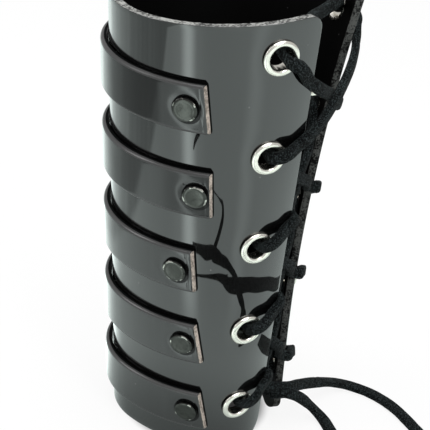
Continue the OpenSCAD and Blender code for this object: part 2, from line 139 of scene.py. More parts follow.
@dataclass(frozen=True)
class Form:
    """The surface that every piece lies on, as part.scad holds it."""

    height: float = 188.0
    rise: float = 7.5
    wall: float = 3.2
    elbow: Section = Section(127.0, (47.0, 57.0, 50.0), 46.5)
    wrist: Section = Section(98.0, (68.0, 31.0, 79.0), 38.5)
    lean_top: float = 2.3
    lean_bottom: float = 6.0
    lean_in: float = 1.7
    lean_from: float = 0.45
    lean_full: float = 0.75
    lean_level: float = 110.0
    flare: float = 10.5
    flare_from: float = 0.6
    flare_tall: float = 30.0

    def lean(self, s: float, z: float) -> tuple[float, float, float]:
        """How the left flap leans out at both ends, in at its middle, and flares at its low corner.

        Args:
            s: Place round the sheet, from -1 to 1.
            z: Height in millimetres.

        Returns:
            The shift along Y, its change round the sheet, and its change with height.
        """
        past = -s - self.lean_from
        if past <= 0.0:
            return 0.0, 0.0, 0.0
        span = self.lean_full - self.lean_from
        bend = 1.0 / (span * (2.0 - self.lean_full - self.lean_from))
        if past < span:
            part, way = bend * past * past, -2.0 * bend * past
        else:
            part, way = 1.0 - 2.0 * bend * span * (1.0 + s), -2.0 * bend * span
        above = z > self.lean_level
        reach = self.height - self.lean_level if above else -self.lean_level
        end = self.lean_in + (self.lean_top if above else self.lean_bottom)
        shift = end * ((z - self.lean_level) / reach) ** 2 - self.lean_in
        slope = 2.0 * end * (z - self.lean_level) / (reach * reach) * part
        near, tall = (-s - self.flare_from) / (1.0 - self.flare_from), 1.0 - z / self.flare_tall
        if near <= 0.0 or tall <= 0.0:
            return shift * part, shift * way, slope
        hollow = self.flare * (near ** 6 - near * near)
        turn = self.flare * (2.0 * near - 6.0 * near ** 5) / (1.0 - self.flare_from)
        return (shift * part + hollow * tall * tall, shift * way + turn * tall * tall,
                slope - 2.0 * hollow * tall / self.flare_tall)

    def half(self, z: float) -> float:
        """Half of the wrap at a height."""
        k = z / self.height
        return self.wrist.half * (1.0 - k) + self.elbow.half * k

    def frame(self, s: float, z: float) -> tuple[Vector, Vector, Vector]:
        """Point, level tangent and outward normal at a place of the outer face.

        Args:
            s: Place round the sheet, from -1 to 1.
            z: Height in millimetres.

        Returns:
            The point, the unit tangent along the wrap, and the unit normal.
        """
        wx, wy, wh = self.wrist.at(s)
        ex, ey, eh = self.elbow.at(s)
        shift, way, slope = self.lean(s, z)
        k = z / self.height
        point = Vector((wx * (1 - k) + ex * k, wy * (1 - k) + ey * k + shift, z))
        w = self.wrist.half * (1 - k)
        e = self.elbow.half * k
        along_x = math.cos(wh) * w + math.cos(eh) * e
        along_y = math.sin(wh) * w + math.sin(eh) * e + way
        tangent = Vector((along_x, along_y, 0.0))
        tangent.normalize()
        slope_x = (ex - wx) / self.height
        slope_y = (ey - wy) / self.height + slope
        normal = Vector((tangent.y, -tangent.x, tangent.x * slope_y - tangent.y * slope_x)).normalized()
        return point, tangent, normal

    def skin(self, s: float, z: float, off: float) -> Vector:
        """Point at a level offset from the outer face."""
        point, tangent, _ = self.frame(s, z)
        return point + Vector((tangent.y, -tangent.x, 0.0)) * off

    def flap(self, side: Side, d: float, z: float, off: float) -> Vector:
        """Point at distance d from the cut edge of a flap, off the outer face."""
        point, _, normal = self.frame(side.value * (1.0 - d / self.half(z)), z)
        return point + normal * off

    def flap_radius(self, z: float) -> float:
        """Radius of the last arc of the wrap at a height.

        Args:
            z: Height in millimetres.

        Returns:
            The radius.
        """
        k = z / self.height
        wrist = self.wrist.half / 3.0 / math.radians(self.wrist.turns[2])
        elbow = self.elbow.half / 3.0 / math.radians(self.elbow.turns[2])
        return wrist * (1 - k) + elbow * k

    def seat(self, s: float, z: float, off: float) -> Matrix:
        """Turns a piece modelled along +Z on Z = 0 so that it stands on the face.

        Args:
            s: Place round the sheet, from -1 to 1.
            z: Height in millimetres.
            off: Offset from the outer face.

        Returns:
            Its place and turn, in the row frame.
        """
        point, _, normal = self.frame(s, z)
        polar = math.acos(normal.z)
        round_z = math.atan2(normal.y, normal.x)
        turn = Matrix.Rotation(round_z, 4, "Z") @ Matrix.Rotation(polar, 4, "Y")
        return Matrix.Translation(to_row(point + normal * off)) @ turn

    def seats(self, place: Callable[[int], float], height: Callable[[int], float],
              off: float) -> list[tuple[Vector, Vector]]:
        """Where the metal pieces of every level stand, on the right flap and then on the left.

        Args:
            place: Place round the wrap, by level.
            height: Height in millimetres, by level.
            off: Offset from the outer face.

        Returns:
            Place and axis of each, in the row frame.
        """
        out = []
        for side in Side:
            for i in LEVELS:
                point, _, normal = self.frame(side.value * place(i), height(i))
                out.append((to_row(point + normal * off), normal))
        return out


FORM = Form()


def sag(r: float, big: float) -> float:
    """How far a circle of radius big falls away at r from its tangent point."""
    return big - math.sqrt(big * big - r * r)


def drop_at(radius: float, d: float) -> float:
    """How far a rounded corner cuts in at distance d from the edge."""
    return 0.0 if d >= radius else radius - math.sqrt(radius * radius - (radius - d) ** 2)


# Shader expressions


class Val:
    """A shader socket that can be written in sums."""

    def __init__(self, finish: "Shader", socket: bpy.types.NodeSocket) -> None:
        """Keeps the socket and the material it belongs to."""
        self.finish = finish
        self.socket = socket

    def _math(self, operation: str, a: Value, b: Value) -> "Val":
        """Adds one Math node for an operation on two values."""
        return self.finish.node("ShaderNodeMath", {"operation": operation}, {0: a, 1: b})

    def __add__(self, other: Value) -> "Val":
        """Sum."""
        return self._math("ADD", self, other)

    __radd__ = __add__

    def __sub__(self, other: Value) -> "Val":
        """Difference."""
        return self._math("SUBTRACT", self, other)

    def __rsub__(self, other: Value) -> "Val":
        """Difference the other way round."""
        return self._math("SUBTRACT", other, self)

    def __mul__(self, other: Value) -> "Val":
        """Product."""
        return self._math("MULTIPLY", self, other)

    __rmul__ = __mul__

    def __truediv__(self, other: Value) -> "Val":
        """Quotient."""
        return self._math("DIVIDE", self, other)

    def __pow__(self, other: Value) -> "Val":
        """Power."""
        return self._math("POWER", self, other)

    def clamp(self) -> "Val":
        """Keeps the value between 0 and 1."""
        return self.finish.node("ShaderNodeClamp", {}, {0: self})

    def above(self, low: float, high: float) -> "Val":
        """Rises smoothly from 0 at low to 1 at high."""
        sockets = {0: self, 1: low, 2: high, 3: 0.0, 4: 1.0}
        return self.finish.node("ShaderNodeMapRange", {"interpolation_type": "SMOOTHSTEP"}, sockets)


class Shader:
    """Builds one material's node tree."""

    def __init__(self, name: str) -> None:
        """Starts an empty material with its output.

        Args:
            name: The material's name.
        """
        self.material = bpy.data.materials.new(name)
        self.material.use_nodes = True
        self.tree = self.material.node_tree
        self.tree.nodes.clear()
        self.output = self.tree.nodes.new("ShaderNodeOutputMaterial")

    def node(self, kind: str, settings: dict, sockets: dict, out: int | str = 0) -> Val:
        """Adds a node.

        Args:
            kind: The node's type.
            settings: Properties that are set before its sockets.
            sockets: Values or links by the input's index or name.
            out: Which output to hand back.

        Returns:
            The chosen output.
        """
        node = self.tree.nodes.new(kind)
        for key, value in settings.items():
            setattr(node, key, value)
        for key, value in sockets.items():
            if isinstance(value, Val):
                self.tree.links.new(value.socket, node.inputs[key])
            else:
                node.inputs[key].default_value = value
        return Val(self, node.outputs[out])

    def place(self) -> Val:
        """Object coordinates, in metres."""
        return self.node("ShaderNodeTexCoord", {}, {}, "Object")

    def axis(self, where: Val, name: str) -> Val:
        """One coordinate of a place."""
        return self.node("ShaderNodeSeparateXYZ", {}, {0: where}, name)

    def ray(self, kind: str) -> Val:
        """Whether the ray that meets the surface is of a kind."""
        return self.node("ShaderNodeLightPath", {}, {}, kind)

    def attribute(self, name: str) -> Val:
        """A value stored on the piece's own mesh."""
        return self.node("ShaderNodeAttribute", {"attribute_name": name}, {}, "Fac")

    def noise(self, where: Val, scale: float, detail: float = 2.0, rough: float = 0.5) -> Val:
        """Soft noise of about 0.5 in the mean."""
        sockets = {"Vector": where, "Scale": scale, "Detail": detail, "Roughness": rough}
        return self.node("ShaderNodeTexNoise", {}, sockets, "Fac")

    def cells(self, where: Val, scale: float) -> Val:
        """Distance to the nearest seed of a cell pattern."""
        return self.node("ShaderNodeTexVoronoi", {}, {"Vector": where, "Scale": scale}, "Distance")

    def mix(self, factor: Value, a: Value, b: Value) -> Val:
        """Mixes two colours."""
        return self.node("ShaderNodeMix", {"data_type": "RGBA"}, {0: factor, 6: a, 7: b}, 2)

    def bump(self, height: Value, strength: float, distance: float, under: Val | None = None) -> Val:
        """A bump in metres of depth, laid over another where one is given.

        Args:
            height: The relief, from 0 to 1.
            strength: How much of it shows.
            distance: Its depth in metres.
            under: The bump below it.

        Returns:
            The normal.
        """
        sockets = {"Height": height, "Strength": strength, "Distance": distance}
        if under is not None:
            sockets["Normal"] = under
        return self.node("ShaderNodeBump", {}, sockets, "Normal")

    def surface(self, sockets: dict) -> None:
        """Ends the tree in one principled surface."""
        shader = self.node("ShaderNodeBsdfPrincipled", {}, sockets, "BSDF")
        self.tree.links.new(shader.socket, self.output.inputs["Surface"])


def grey(value: float) -> tuple[float, float, float, float]:
    """A plain grey."""
    return value, value, value, 1.0


def solid(colour: Colour) -> tuple[float, float, float, float]:
    """A colour with nothing let through."""
    return (*colour, 1.0)


# Finishes, with the scales of their patterns in cells a metre and their depths in metres


@dataclass(frozen=True)
class PatentLeather:
    """Black leather under a thick clear gloss, with slow waves and a few specks of dust."""

    name: str = "patent_leather"
    depth: float = 0.002
    gloss: float = 1.0
    rough: float = 0.3
    level: float = 0.08
    wave: float = 0.0006
    wave_scale: float = 28.0
    grain: float = 0.0001
    grain_scale: float = 900.0
    pore_scale: float = 1500.0
    dust_scale: float = 190.0
    dust_size: Pair = (0.035, 0.06)
    dust_grey: float = 0.35
    drift_scale: float = 60.0
    drift: Pair = (0.56, 0.62)
    smear_scale: float = 45.0
    smear: Pair = (0.45, 0.75)
    coat_rough: float = 0.025
    coat_ior: float = 1.8

    def worn(self, sh: Shader) -> Value:
        """How much of the gloss is left at a place."""
        return self.gloss

    def make(self) -> bpy.types.Material:
        """Builds the material.

        Returns:
            The material.
        """
        sh = Shader(self.name)
        where = sh.place()
        slow = sh.noise(where, self.wave_scale, 1.0, 0.4)
        fine = sh.noise(where, self.grain_scale, 3.0, 0.6)
        pore = sh.cells(where, self.pore_scale)
        dust = 1.0 - sh.cells(where, self.dust_scale).above(*self.dust_size)
        speck = dust * sh.noise(where, self.drift_scale, 0.0).above(*self.drift)
        smear = sh.noise(where, self.smear_scale, 2.0).above(*self.smear)
        waves = sh.bump(slow, 1.0, self.wave)
        sh.surface({
            "Base Color": sh.mix(speck * 0.35, grey(self.depth), grey(self.dust_grey)),
            "Roughness": self.rough + smear * 0.04 + speck * 0.4,
            "Normal": sh.bump(fine * 0.6 + pore * 0.4, 0.05, self.grain, waves),
            "Specular IOR Level": self.level,
            "Coat Weight": self.worn(sh),
            "Coat Roughness": self.coat_rough,
            "Coat IOR": self.coat_ior,
        })
        return sh.material


@dataclass(frozen=True)
class BandLeather(PatentLeather):
    """The bands' gloss: thinner than the sheet's, made weaker and stronger by place round the wrap as painted
    darker and brighter reflections, weakest on the two high bands beside their rivets, and gone in a ring
    round each rivet as painted shade.

    The heights of those bands' low edges are in metres, and the edge of the painted shade ring in millimetres
    from its centre by a rivet.
    A start, an end and a fade are places round the wrap.
    """

    name: str = "band_leather"
    depth: float = 0.006
    gloss: float = 0.62
    rough: float = 0.24
    level: float = 0.2
    wave: float = 0.0005
    first_band: Pair = (0.140, 0.144)
    second_band: Pair = (0.104, 0.108)
    # Radii in millimetres over which the painted shade ring round each rivet ends
    hollow: Pair = (5.0, 5.3)
    # How much the painted darker reflections take from the gloss
    reflection_dim: float = 0.62
    broad_start: Pair = (0.30, 0.36)
    broad_end: Pair = (0.59, 0.66)
    broad_fade: Pair = (0.53, 0.555)
    broad_less: float = 0.55
    patch_start: Pair = (0.28, 0.34)
    patch_end: Pair = (0.42, 0.48)
    patch_reflection_dim: float = 0.45
    far_start: Pair = (0.52, 0.60)
    far_reflection_dim: float = 0.85
    # Gloss raised towards the front of the wrap: a painted brighter reflection
    front: float = 1.6
    front_fade: Pair = (0.24, 0.38)
    front_less: float = 0.6
    streak_scale: float = 34.0
    streak: Pair = (0.84, 0.32)

    def worn(self, sh: Shader) -> Val:
        """What is left of the gloss: less in zones round the wrap, as painted darker reflections, and none in
        a ring round each rivet, as painted shade.

        Args:
            sh: The material.

        Returns:
            The share of the gloss.
        """
        turn = sh.attribute("turn")
        height = sh.axis(sh.place(), "Z")
        first = height.above(*self.first_band)
        second = height.above(*self.second_band) * (1.0 - first)
        # Places round the wrap where the highest band's gloss is weakened, and then the one below it: painted
        # darker reflections
        broad = turn.above(*self.broad_start) * (1.0 - turn.above(*self.broad_end))
        broad = broad * (1.0 - turn.above(*self.broad_fade) * self.broad_less)
        patchy = turn.above(*self.patch_start) * (1.0 - turn.above(*self.patch_end)) * self.patch_reflection_dim
        patchy = patchy + turn.above(*self.far_start) * self.far_reflection_dim
        dimmed_reflection = broad * first + patchy * second
        streak = sh.noise(sh.node("ShaderNodeCombineXYZ", {}, {0: turn}), self.streak_scale, 3.0, 0.6)
        least, more = self.streak
        kept = self.gloss * (self.front - turn.above(*self.front_fade) * self.front_less)
        kept = kept * (least + streak * more)
        # No gloss in the ring round each rivet: painted shade, its centre shifted down from the rivet
        return kept * (1.0 - dimmed_reflection * self.reflection_dim) * sh.attribute("from_rivet").above(*self.hollow)


@dataclass(frozen=True)
class CutEdge:
    """The raw edge of a leather piece: packed fibres with a little of the black finish drawn over."""

    name: str = "cut_edge"
    light: Colour = (0.32, 0.325, 0.31)
    dark: Colour = (0.015, 0.015, 0.015)
    rough: float = 0.8
    pits: float = 0.6
    pit_depth: float = 0.0004
    level: float = 0.3
    layer_scale: float = 1300.0
    patch_scale: float = 260.0
    drawn: Pair = (0.43, 0.56)

    def make(self) -> bpy.types.Material:
        """Builds the material.

        Returns:
            The material.
        """
        sh = Shader(self.name)
        where = sh.place()
        layer = sh.noise(where, self.layer_scale, 4.0, 0.7)
        patch = sh.noise(where, self.patch_scale, 3.0, 0.6)
        mask = (layer * 0.6 + patch * 0.4).above(*self.drawn)
        sh.surface({
            "Base Color": sh.mix(mask, solid(self.dark), solid(self.light)),
            "Roughness": self.rough,
            "Normal": sh.bump(layer, self.pits, self.pit_depth),
            "Specular IOR Level": self.level,
        })
        return sh.material


@dataclass(frozen=True)
class Suede:
    """The lace: black split leather, matt, with a short worn nap."""

    name: str = "lace_suede"
    deep: Colour = (0.0008, 0.0012, 0.0012)
    pale: Colour = (0.004, 0.006, 0.006)
    fleck: Colour = (0.054, 0.068, 0.070)
    nap: float = 0.0006
    nap_scale: float = 1800.0
    nap_worn: Pair = (0.50, 0.62)
    patch_scale: float = 240.0
    patches: Pair = (0.4, 0.7)
    rough: float = 0.85
    level: float = 0.05
    sheen: float = 0.02
    sheen_rough: float = 0.5

    def make(self) -> bpy.types.Material:
        """Builds the material.

        Returns:
            The material.
        """
        sh = Shader(self.name)
        where = sh.place()
        nap = sh.noise(where, self.nap_scale, 4.0, 0.7)
        patch = sh.noise(where, self.patch_scale, 3.0, 0.6)
        colour = sh.mix(patch.above(*self.patches), solid(self.deep), solid(self.pale))
        sh.surface({
            "Base Color": sh.mix(nap.above(*self.nap_worn) * 0.8, colour, solid(self.fleck)),
            "Roughness": self.rough,
            "Normal": sh.bump(nap + patch * 0.5, 1.0, self.nap),
            "Specular IOR Level": self.level,
            "Sheen Weight": self.sheen,
            "Sheen Roughness": self.sheen_rough,
        })
        return sh.material


@dataclass(frozen=True)
class Plating:
    """Polished metal plating with faint draw marks and handling haze."""

    name: str
    colour: Colour
    rough: float = 0.12
    haze: float = 0.12
    dents: float = 0.00012
    stain: float = 0.72
    blot_scale: float = 420.0
    stained: Pair = (0.45, 0.8)
    hazed: Pair = (0.4, 0.8)
    mark_scale: float = 2600.0

    def tone(self, sh: Shader, colour: Val) -> Val:
        """The metal's colour at a place."""
        return colour

    def make(self) -> bpy.types.Material:
        """Builds the material.

        Returns:
            The material.
        """
        sh = Shader(self.name)
        where = sh.place()
        blot = sh.noise(where, self.blot_scale, 3.0, 0.6)
        mark = sh.noise(where, self.mark_scale, 2.0, 0.6)
        dull = tuple(c * self.stain for c in self.colour)
        mottled = sh.mix(blot.above(*self.stained) * 0.6, solid(self.colour), solid(dull))
        sh.surface({
            "Base Color": self.tone(sh, mottled),
            "Metallic": 1.0,
            "Roughness": self.rough + blot.above(*self.hazed) * self.haze,
            "Normal": sh.bump(blot * 0.7 + mark * 0.3, 0.5, self.dents),
        })
        return sh.material


@dataclass(frozen=True)
class CapPlating(Plating):
    """The rivets' dark plating, with bright spots along the raised edge that are painted glints, and black
    outside it as painted shade on the cap's side.

    The two radii, where the painted glints lie and where the painted shade begins, are in millimetres.
    """

    glint_and_shade_radii: Pair = (4.05, 4.5)
    glint_colour: Colour = (0.55, 0.55, 0.50)
    side_shade: float = 0.002
    glint_scale: float = 330.0
    glint_spots: Pair = (0.53, 0.62)

    def tone(self, sh: Shader, colour: Val) -> Val:
        """The metal's colour at a place.

        Args:
            sh: The material.
            colour: The plating's own colour.

        Returns:
            The colour with its painted glints and painted shade.
        """
        radius = sh.attribute("radius")
        low, high = self.glint_and_shade_radii
        glint_spots = sh.noise(sh.place(), self.glint_scale, 2.0).above(*self.glint_spots)
        # Bright spots along the raised edge: painted glints
        worn = sh.mix(radius.above(low - 0.1, low + 0.1) * glint_spots, colour, solid(self.glint_colour))
        # Black beyond the raised edge: painted shade on the cap's side
        return sh.mix(radius.above(high, high + 0.2), worn, grey(self.side_shade))


# Mesh help


def mesh_object(name: str, verts: Iterable[Vector], faces: Iterable[Sequence[int]],
                materials: Sequence[bpy.types.Material], slots: Sequence[int] | None = None,
                smooth: bool = True) -> bpy.types.Object:
    """Makes a mesh piece at the origin of the row frame.

    Args:
        name: The piece's name.
        verts: Points in metres, row frame.
        faces: Corner indices.
        materials: Materials, in slot order.
        slots: Material slot of each face.
        smooth: Whether faces are shaded smooth.

    Returns:
        The new object.
    """
    mesh = bpy.data.meshes.new(name)
    mesh.from_pydata([tuple(v) for v in verts], [], [tuple(f) for f in faces])
    for material in materials:
        mesh.materials.append(material)
    if slots is not None:
        mesh.polygons.foreach_set("material_index", list(slots))
    mesh.polygons.foreach_set("use_smooth", [smooth] * len(mesh.polygons))
    mesh.update()
    return put_in(name, mesh)


def put_in(name: str, data: bpy.types.ID) -> bpy.types.Object:
    """Puts new data into the scene as an object at the origin.

    Args:
        name: The object's name.
        data: Its mesh, lamp or camera.

    Returns:
        The new object.
    """
    piece = bpy.data.objects.new(name, data)
    bpy.context.collection.objects.link(piece)
    return piece


def store(mesh: bpy.types.Mesh, name: str, values: Sequence[float]) -> None:
    """Stores one value at each point of a mesh."""
    mesh.attributes.new(name, "FLOAT", "POINT").data.foreach_set("value", values)


def bake_down(piece: bpy.types.Object) -> None:
    """Turns a piece with modifiers into a plain mesh of the same name.

    Args:
        piece: The piece.
    """
    bpy.context.view_layer.update()
    graph = bpy.context.evaluated_depsgraph_get()
    source = piece.evaluated_get(graph)
    mesh = bpy.data.meshes.new_from_object(source, preserve_all_data_layers=True, depsgraph=graph)
    old = piece.data
    piece.modifiers.clear()
    piece.data = mesh
    mesh.name = piece.name
    bpy.data.meshes.remove(old)


def turn_outwards(piece: bpy.types.Object) -> None:
    """Turns every face of a closed piece outwards.

    Args:
        piece: The piece.
    """
    bm = bmesh.new()
    bm.from_mesh(piece.data)
    bmesh.ops.recalc_face_normals(bm, faces=bm.faces)
    bm.to_mesh(piece.data)
    bm.free()


def sharpen(piece: bpy.types.Object, degrees: float = 35.0) -> None:
    """Marks edges sharper than an angle, so that the rest shades smooth.

    Args:
        piece: The piece.
        degrees: The angle.
    """
    bm = bmesh.new()
    bm.from_mesh(piece.data)
    limit = math.radians(degrees)
    for edge in bm.edges:
        edge.smooth = len(edge.link_faces) != 2 or edge.calc_face_angle(0.0) < limit
    bm.to_mesh(piece.data)
    bm.free()


def way_at(points: Sequence[Vector], i: int) -> Vector:
    """Direction of a chain at one of its points, weighted so that close points don't overshoot.

    Args:
        points: The chain.
        i: Which point.

    Returns:
        The direction.
    """
    if i == 0:
        return (points[1] - points[0]).normalized()
    if i == len(points) - 1:
        return (points[i] - points[i - 1]).normalized()
    before, after = points[i] - points[i - 1], points[i + 1] - points[i]
    d0, d1 = before.length, after.length
    return (after / d1 * d0 + before / d0 * d1) / (d0 + d1)


def smooth_chain(points: Sequence[Vector], step: float) -> list[Vector]:
    """Runs a smooth curve through points, at about one sample a step.

    Args:
        points: The points to pass through.
        step: Wanted distance between samples.

    Returns:
        The samples, ends included.
    """
    out: list[Vector] = []
    for i in range(len(points) - 1):
        p, q = points[i], points[i + 1]
        d = (q - p).length
        n = max(1, round(d / step))
        m, w = way_at(points, i) * d, way_at(points, i + 1) * d
        for j in range(n):
            f = j / n
            out.append(p * (2 * f ** 3 - 3 * f * f + 1) + m * (f ** 3 - 2 * f * f + f)
                       + q * (3 * f * f - 2 * f ** 3) + w * (f ** 3 - f * f))
    out.append(points[-1])
    return out


def chain_length(points: Sequence[Vector]) -> float:
    """Length of a chain of points."""
    return sum((q - p).length for p, q in zip(points, points[1:]))


# The wrapped sheet


class SheetFace(Enum):
    """Material slots of the sheet."""

    OUTER = 0
    RIM = 1
    LINING = 2
    CUT = 3


@dataclass
class Sheet:
    """The wrapped sheet: rounded corners, raw edges, ten eyelet holes and ten rivet holes."""

    top_corner: float = 6.0
    bottom_corner: float = 9.0
    mean_half: float = 112.0
    spacing: float = 1.35
    rows: int = 92
    edge_zone: float = 10.4
    edge_steps: tuple[float, ...] = (0.0, 0.35, 0.8, 1.4, 2.2, 3.2, 4.4, 5.8, 7.4, 9.2)
    eyelet_hole: float = 4.75
    rivet_hole: float = 1.7
    pin: float = 14.0
    bevel: float = 0.45
    ragged: float = 0.12
    uneven: float = 0.08
    wave: float = 0.10
    seat_depth: float = 0.22
    seat_r: float = 5.5
    seat_soft: float = 3.2
    seat_reach: float = 14.0

    def columns(self) -> list[float]:
        """Places of the mesh's columns round the wrap.

        Returns:
            The places, from -1 to 1, closer together at the cut edges.
        """
        start = 1.0 - self.edge_zone / self.mean_half
        count = int(2 * start * self.mean_half / self.spacing)
        edge = [1.0 - d / self.mean_half for d in self.edge_steps]
        middle = [start * (2 * i / count - 1) for i in range(count + 1)]
        return [-s for s in edge] + middle + edge[::-1]

    def low(self, s: float) -> float:
        """Height of the wrist rim at a column."""
        return drop_at(self.bottom_corner, (1 - abs(s)) * FORM.wrist.half)

    def top(self, s: float) -> float:
        """Height of the elbow rim at a column, a little ragged.

        Args:
            s: The column's place.

        Returns:
            The height in millimetres.
        """
        fine = self.ragged * noise.noise(Vector((s * 90.0, 3.1, 0.0)))
        broad = self.uneven * noise.noise(Vector((s * 23.0, 9.0, 0)))
        corner = drop_at(self.top_corner, (1 - abs(s)) * FORM.elbow.half)
        return FORM.height + FORM.rise * s * s - corner + (fine + broad)

    def swell(self, s: float, z: float) -> float:
        """Slow waves of the leather and the shallow seat round each eyelet, in millimetres.

        Args:
            s: Place round the sheet, from -1 to 1.
            z: Height in millimetres.

        Returns:
            How far the face stands out there.
        """
        slow = self.wave * noise.noise(Vector((s * 3.2, z / 45.0, 0.7)))
        seat = 0.0
        for i in LEVELS:
            past = abs(s) * FORM.half(z) - FORM.half(z) + Eyelets.edge
            far = math.hypot(past, z - Eyelets.height(i))
            if far < self.seat_reach:
                seat -= self.seat_depth * math.exp(-((far - self.seat_r) / self.seat_soft) ** 2)
        return slow + seat

    def face_of(self, k: int) -> SheetFace:
        """Which face of the sheet the k-th step round a column lies on.

        Args:
            k: The step.

        Returns:
            The face.
        """
        if k < self.rows:
            return SheetFace.OUTER
        if k == self.rows:
            return SheetFace.RIM
        return SheetFace.CUT if k == 2 * self.rows + 1 else SheetFace.LINING

    def wrap(self) -> tuple[list[Vector], list[Sequence[int]], list[int]]:
        """Lays out the wrapped sheet before its holes are cut.

        Returns:
            The points, the faces, and the material slot of each face.
        """
        columns = self.columns()
        ring = 2 * (self.rows + 1)
        verts: list[Vector] = []
        for s in columns:
            low, top = self.low(s), self.top(s)
            heights = [low + (top - low) * k / self.rows for k in range(self.rows + 1)]
            skin = [(z, self.swell(s, z)) for z in heights]
            verts += [to_row(FORM.skin(s, z, w)) for z, w in skin]
            verts += [to_row(FORM.skin(s, z, w - FORM.wall)) for z, w in reversed(skin)]
        faces: list[Sequence[int]] = []
        slots: list[int] = []
        for j in range(len(columns) - 1):
            for k in range(ring):
                a, d = j * ring + k, j * ring + (k + 1) % ring
                faces.append((a, a + ring, d + ring, d))
                slots.append(self.face_of(k).value)
        for j, turned in ((0, False), (len(columns) - 1, True)):
            for k in range(self.rows):
                a, b = j * ring + k, j * ring + ring - 1 - k
                quad = (a, a + 1, b - 1, b)
                faces.append(quad[::-1] if turned else quad)
                slots.append(SheetFace.CUT.value)
        return verts, faces, slots

    def build(self, finishes: dict[SheetFace, bpy.types.Material]) -> bpy.types.Object:
        """Makes the sheet.

        Args:
            finishes: The material of each kind of face.

        Returns:
            The finished piece.
        """
        verts, faces, slots = self.wrap()
        piece = mesh_object("sheet", verts, faces, [finishes[face] for face in SheetFace], slots)
        bevel = piece.modifiers.new("edges", "BEVEL")
        bevel.width = self.bevel * MM
        bevel.segments = 3
        bevel.limit_method = "ANGLE"
        bevel.angle_limit = math.radians(50)
        bevel.harden_normals = False
        cutter = self.cutter()
        cut = piece.modifiers.new("holes", "BOOLEAN")
        cut.operation = "DIFFERENCE"
        cut.solver = "EXACT"
        cut.object = cutter
        bake_down(piece)
        bpy.data.objects.remove(cutter)
        sharpen(piece, 50.0)
        return piece

    def cutter(self) -> bpy.types.Object:
        """Pins where the holes go, as one piece to cut with.

        Returns:
            The pins.
        """
        bm = bmesh.new()
        for side in Side:
            for i in LEVELS:
                for s, z, r in ((Eyelets.place(i), Eyelets.height(i), self.eyelet_hole),
                                (Rivets.place(i), Bands.height(i), self.rivet_hole)):
                    seat = FORM.seat(side.value * s, z, -FORM.wall / 2)
                    bmesh.ops.create_cone(bm, cap_ends=True, segments=40, radius1=r * MM, radius2=r * MM,
                                          depth=self.pin * MM, matrix=seat)
        mesh = bpy.data.meshes.new("pins")
        bm.to_mesh(mesh)
        bm.free()
        return put_in("pins", mesh)


# Bands


class BandFace(Enum):
    """Material slots of a band."""

    GLOSS = 0
    END = 1
    SIDE = 2
    BEAD = 3


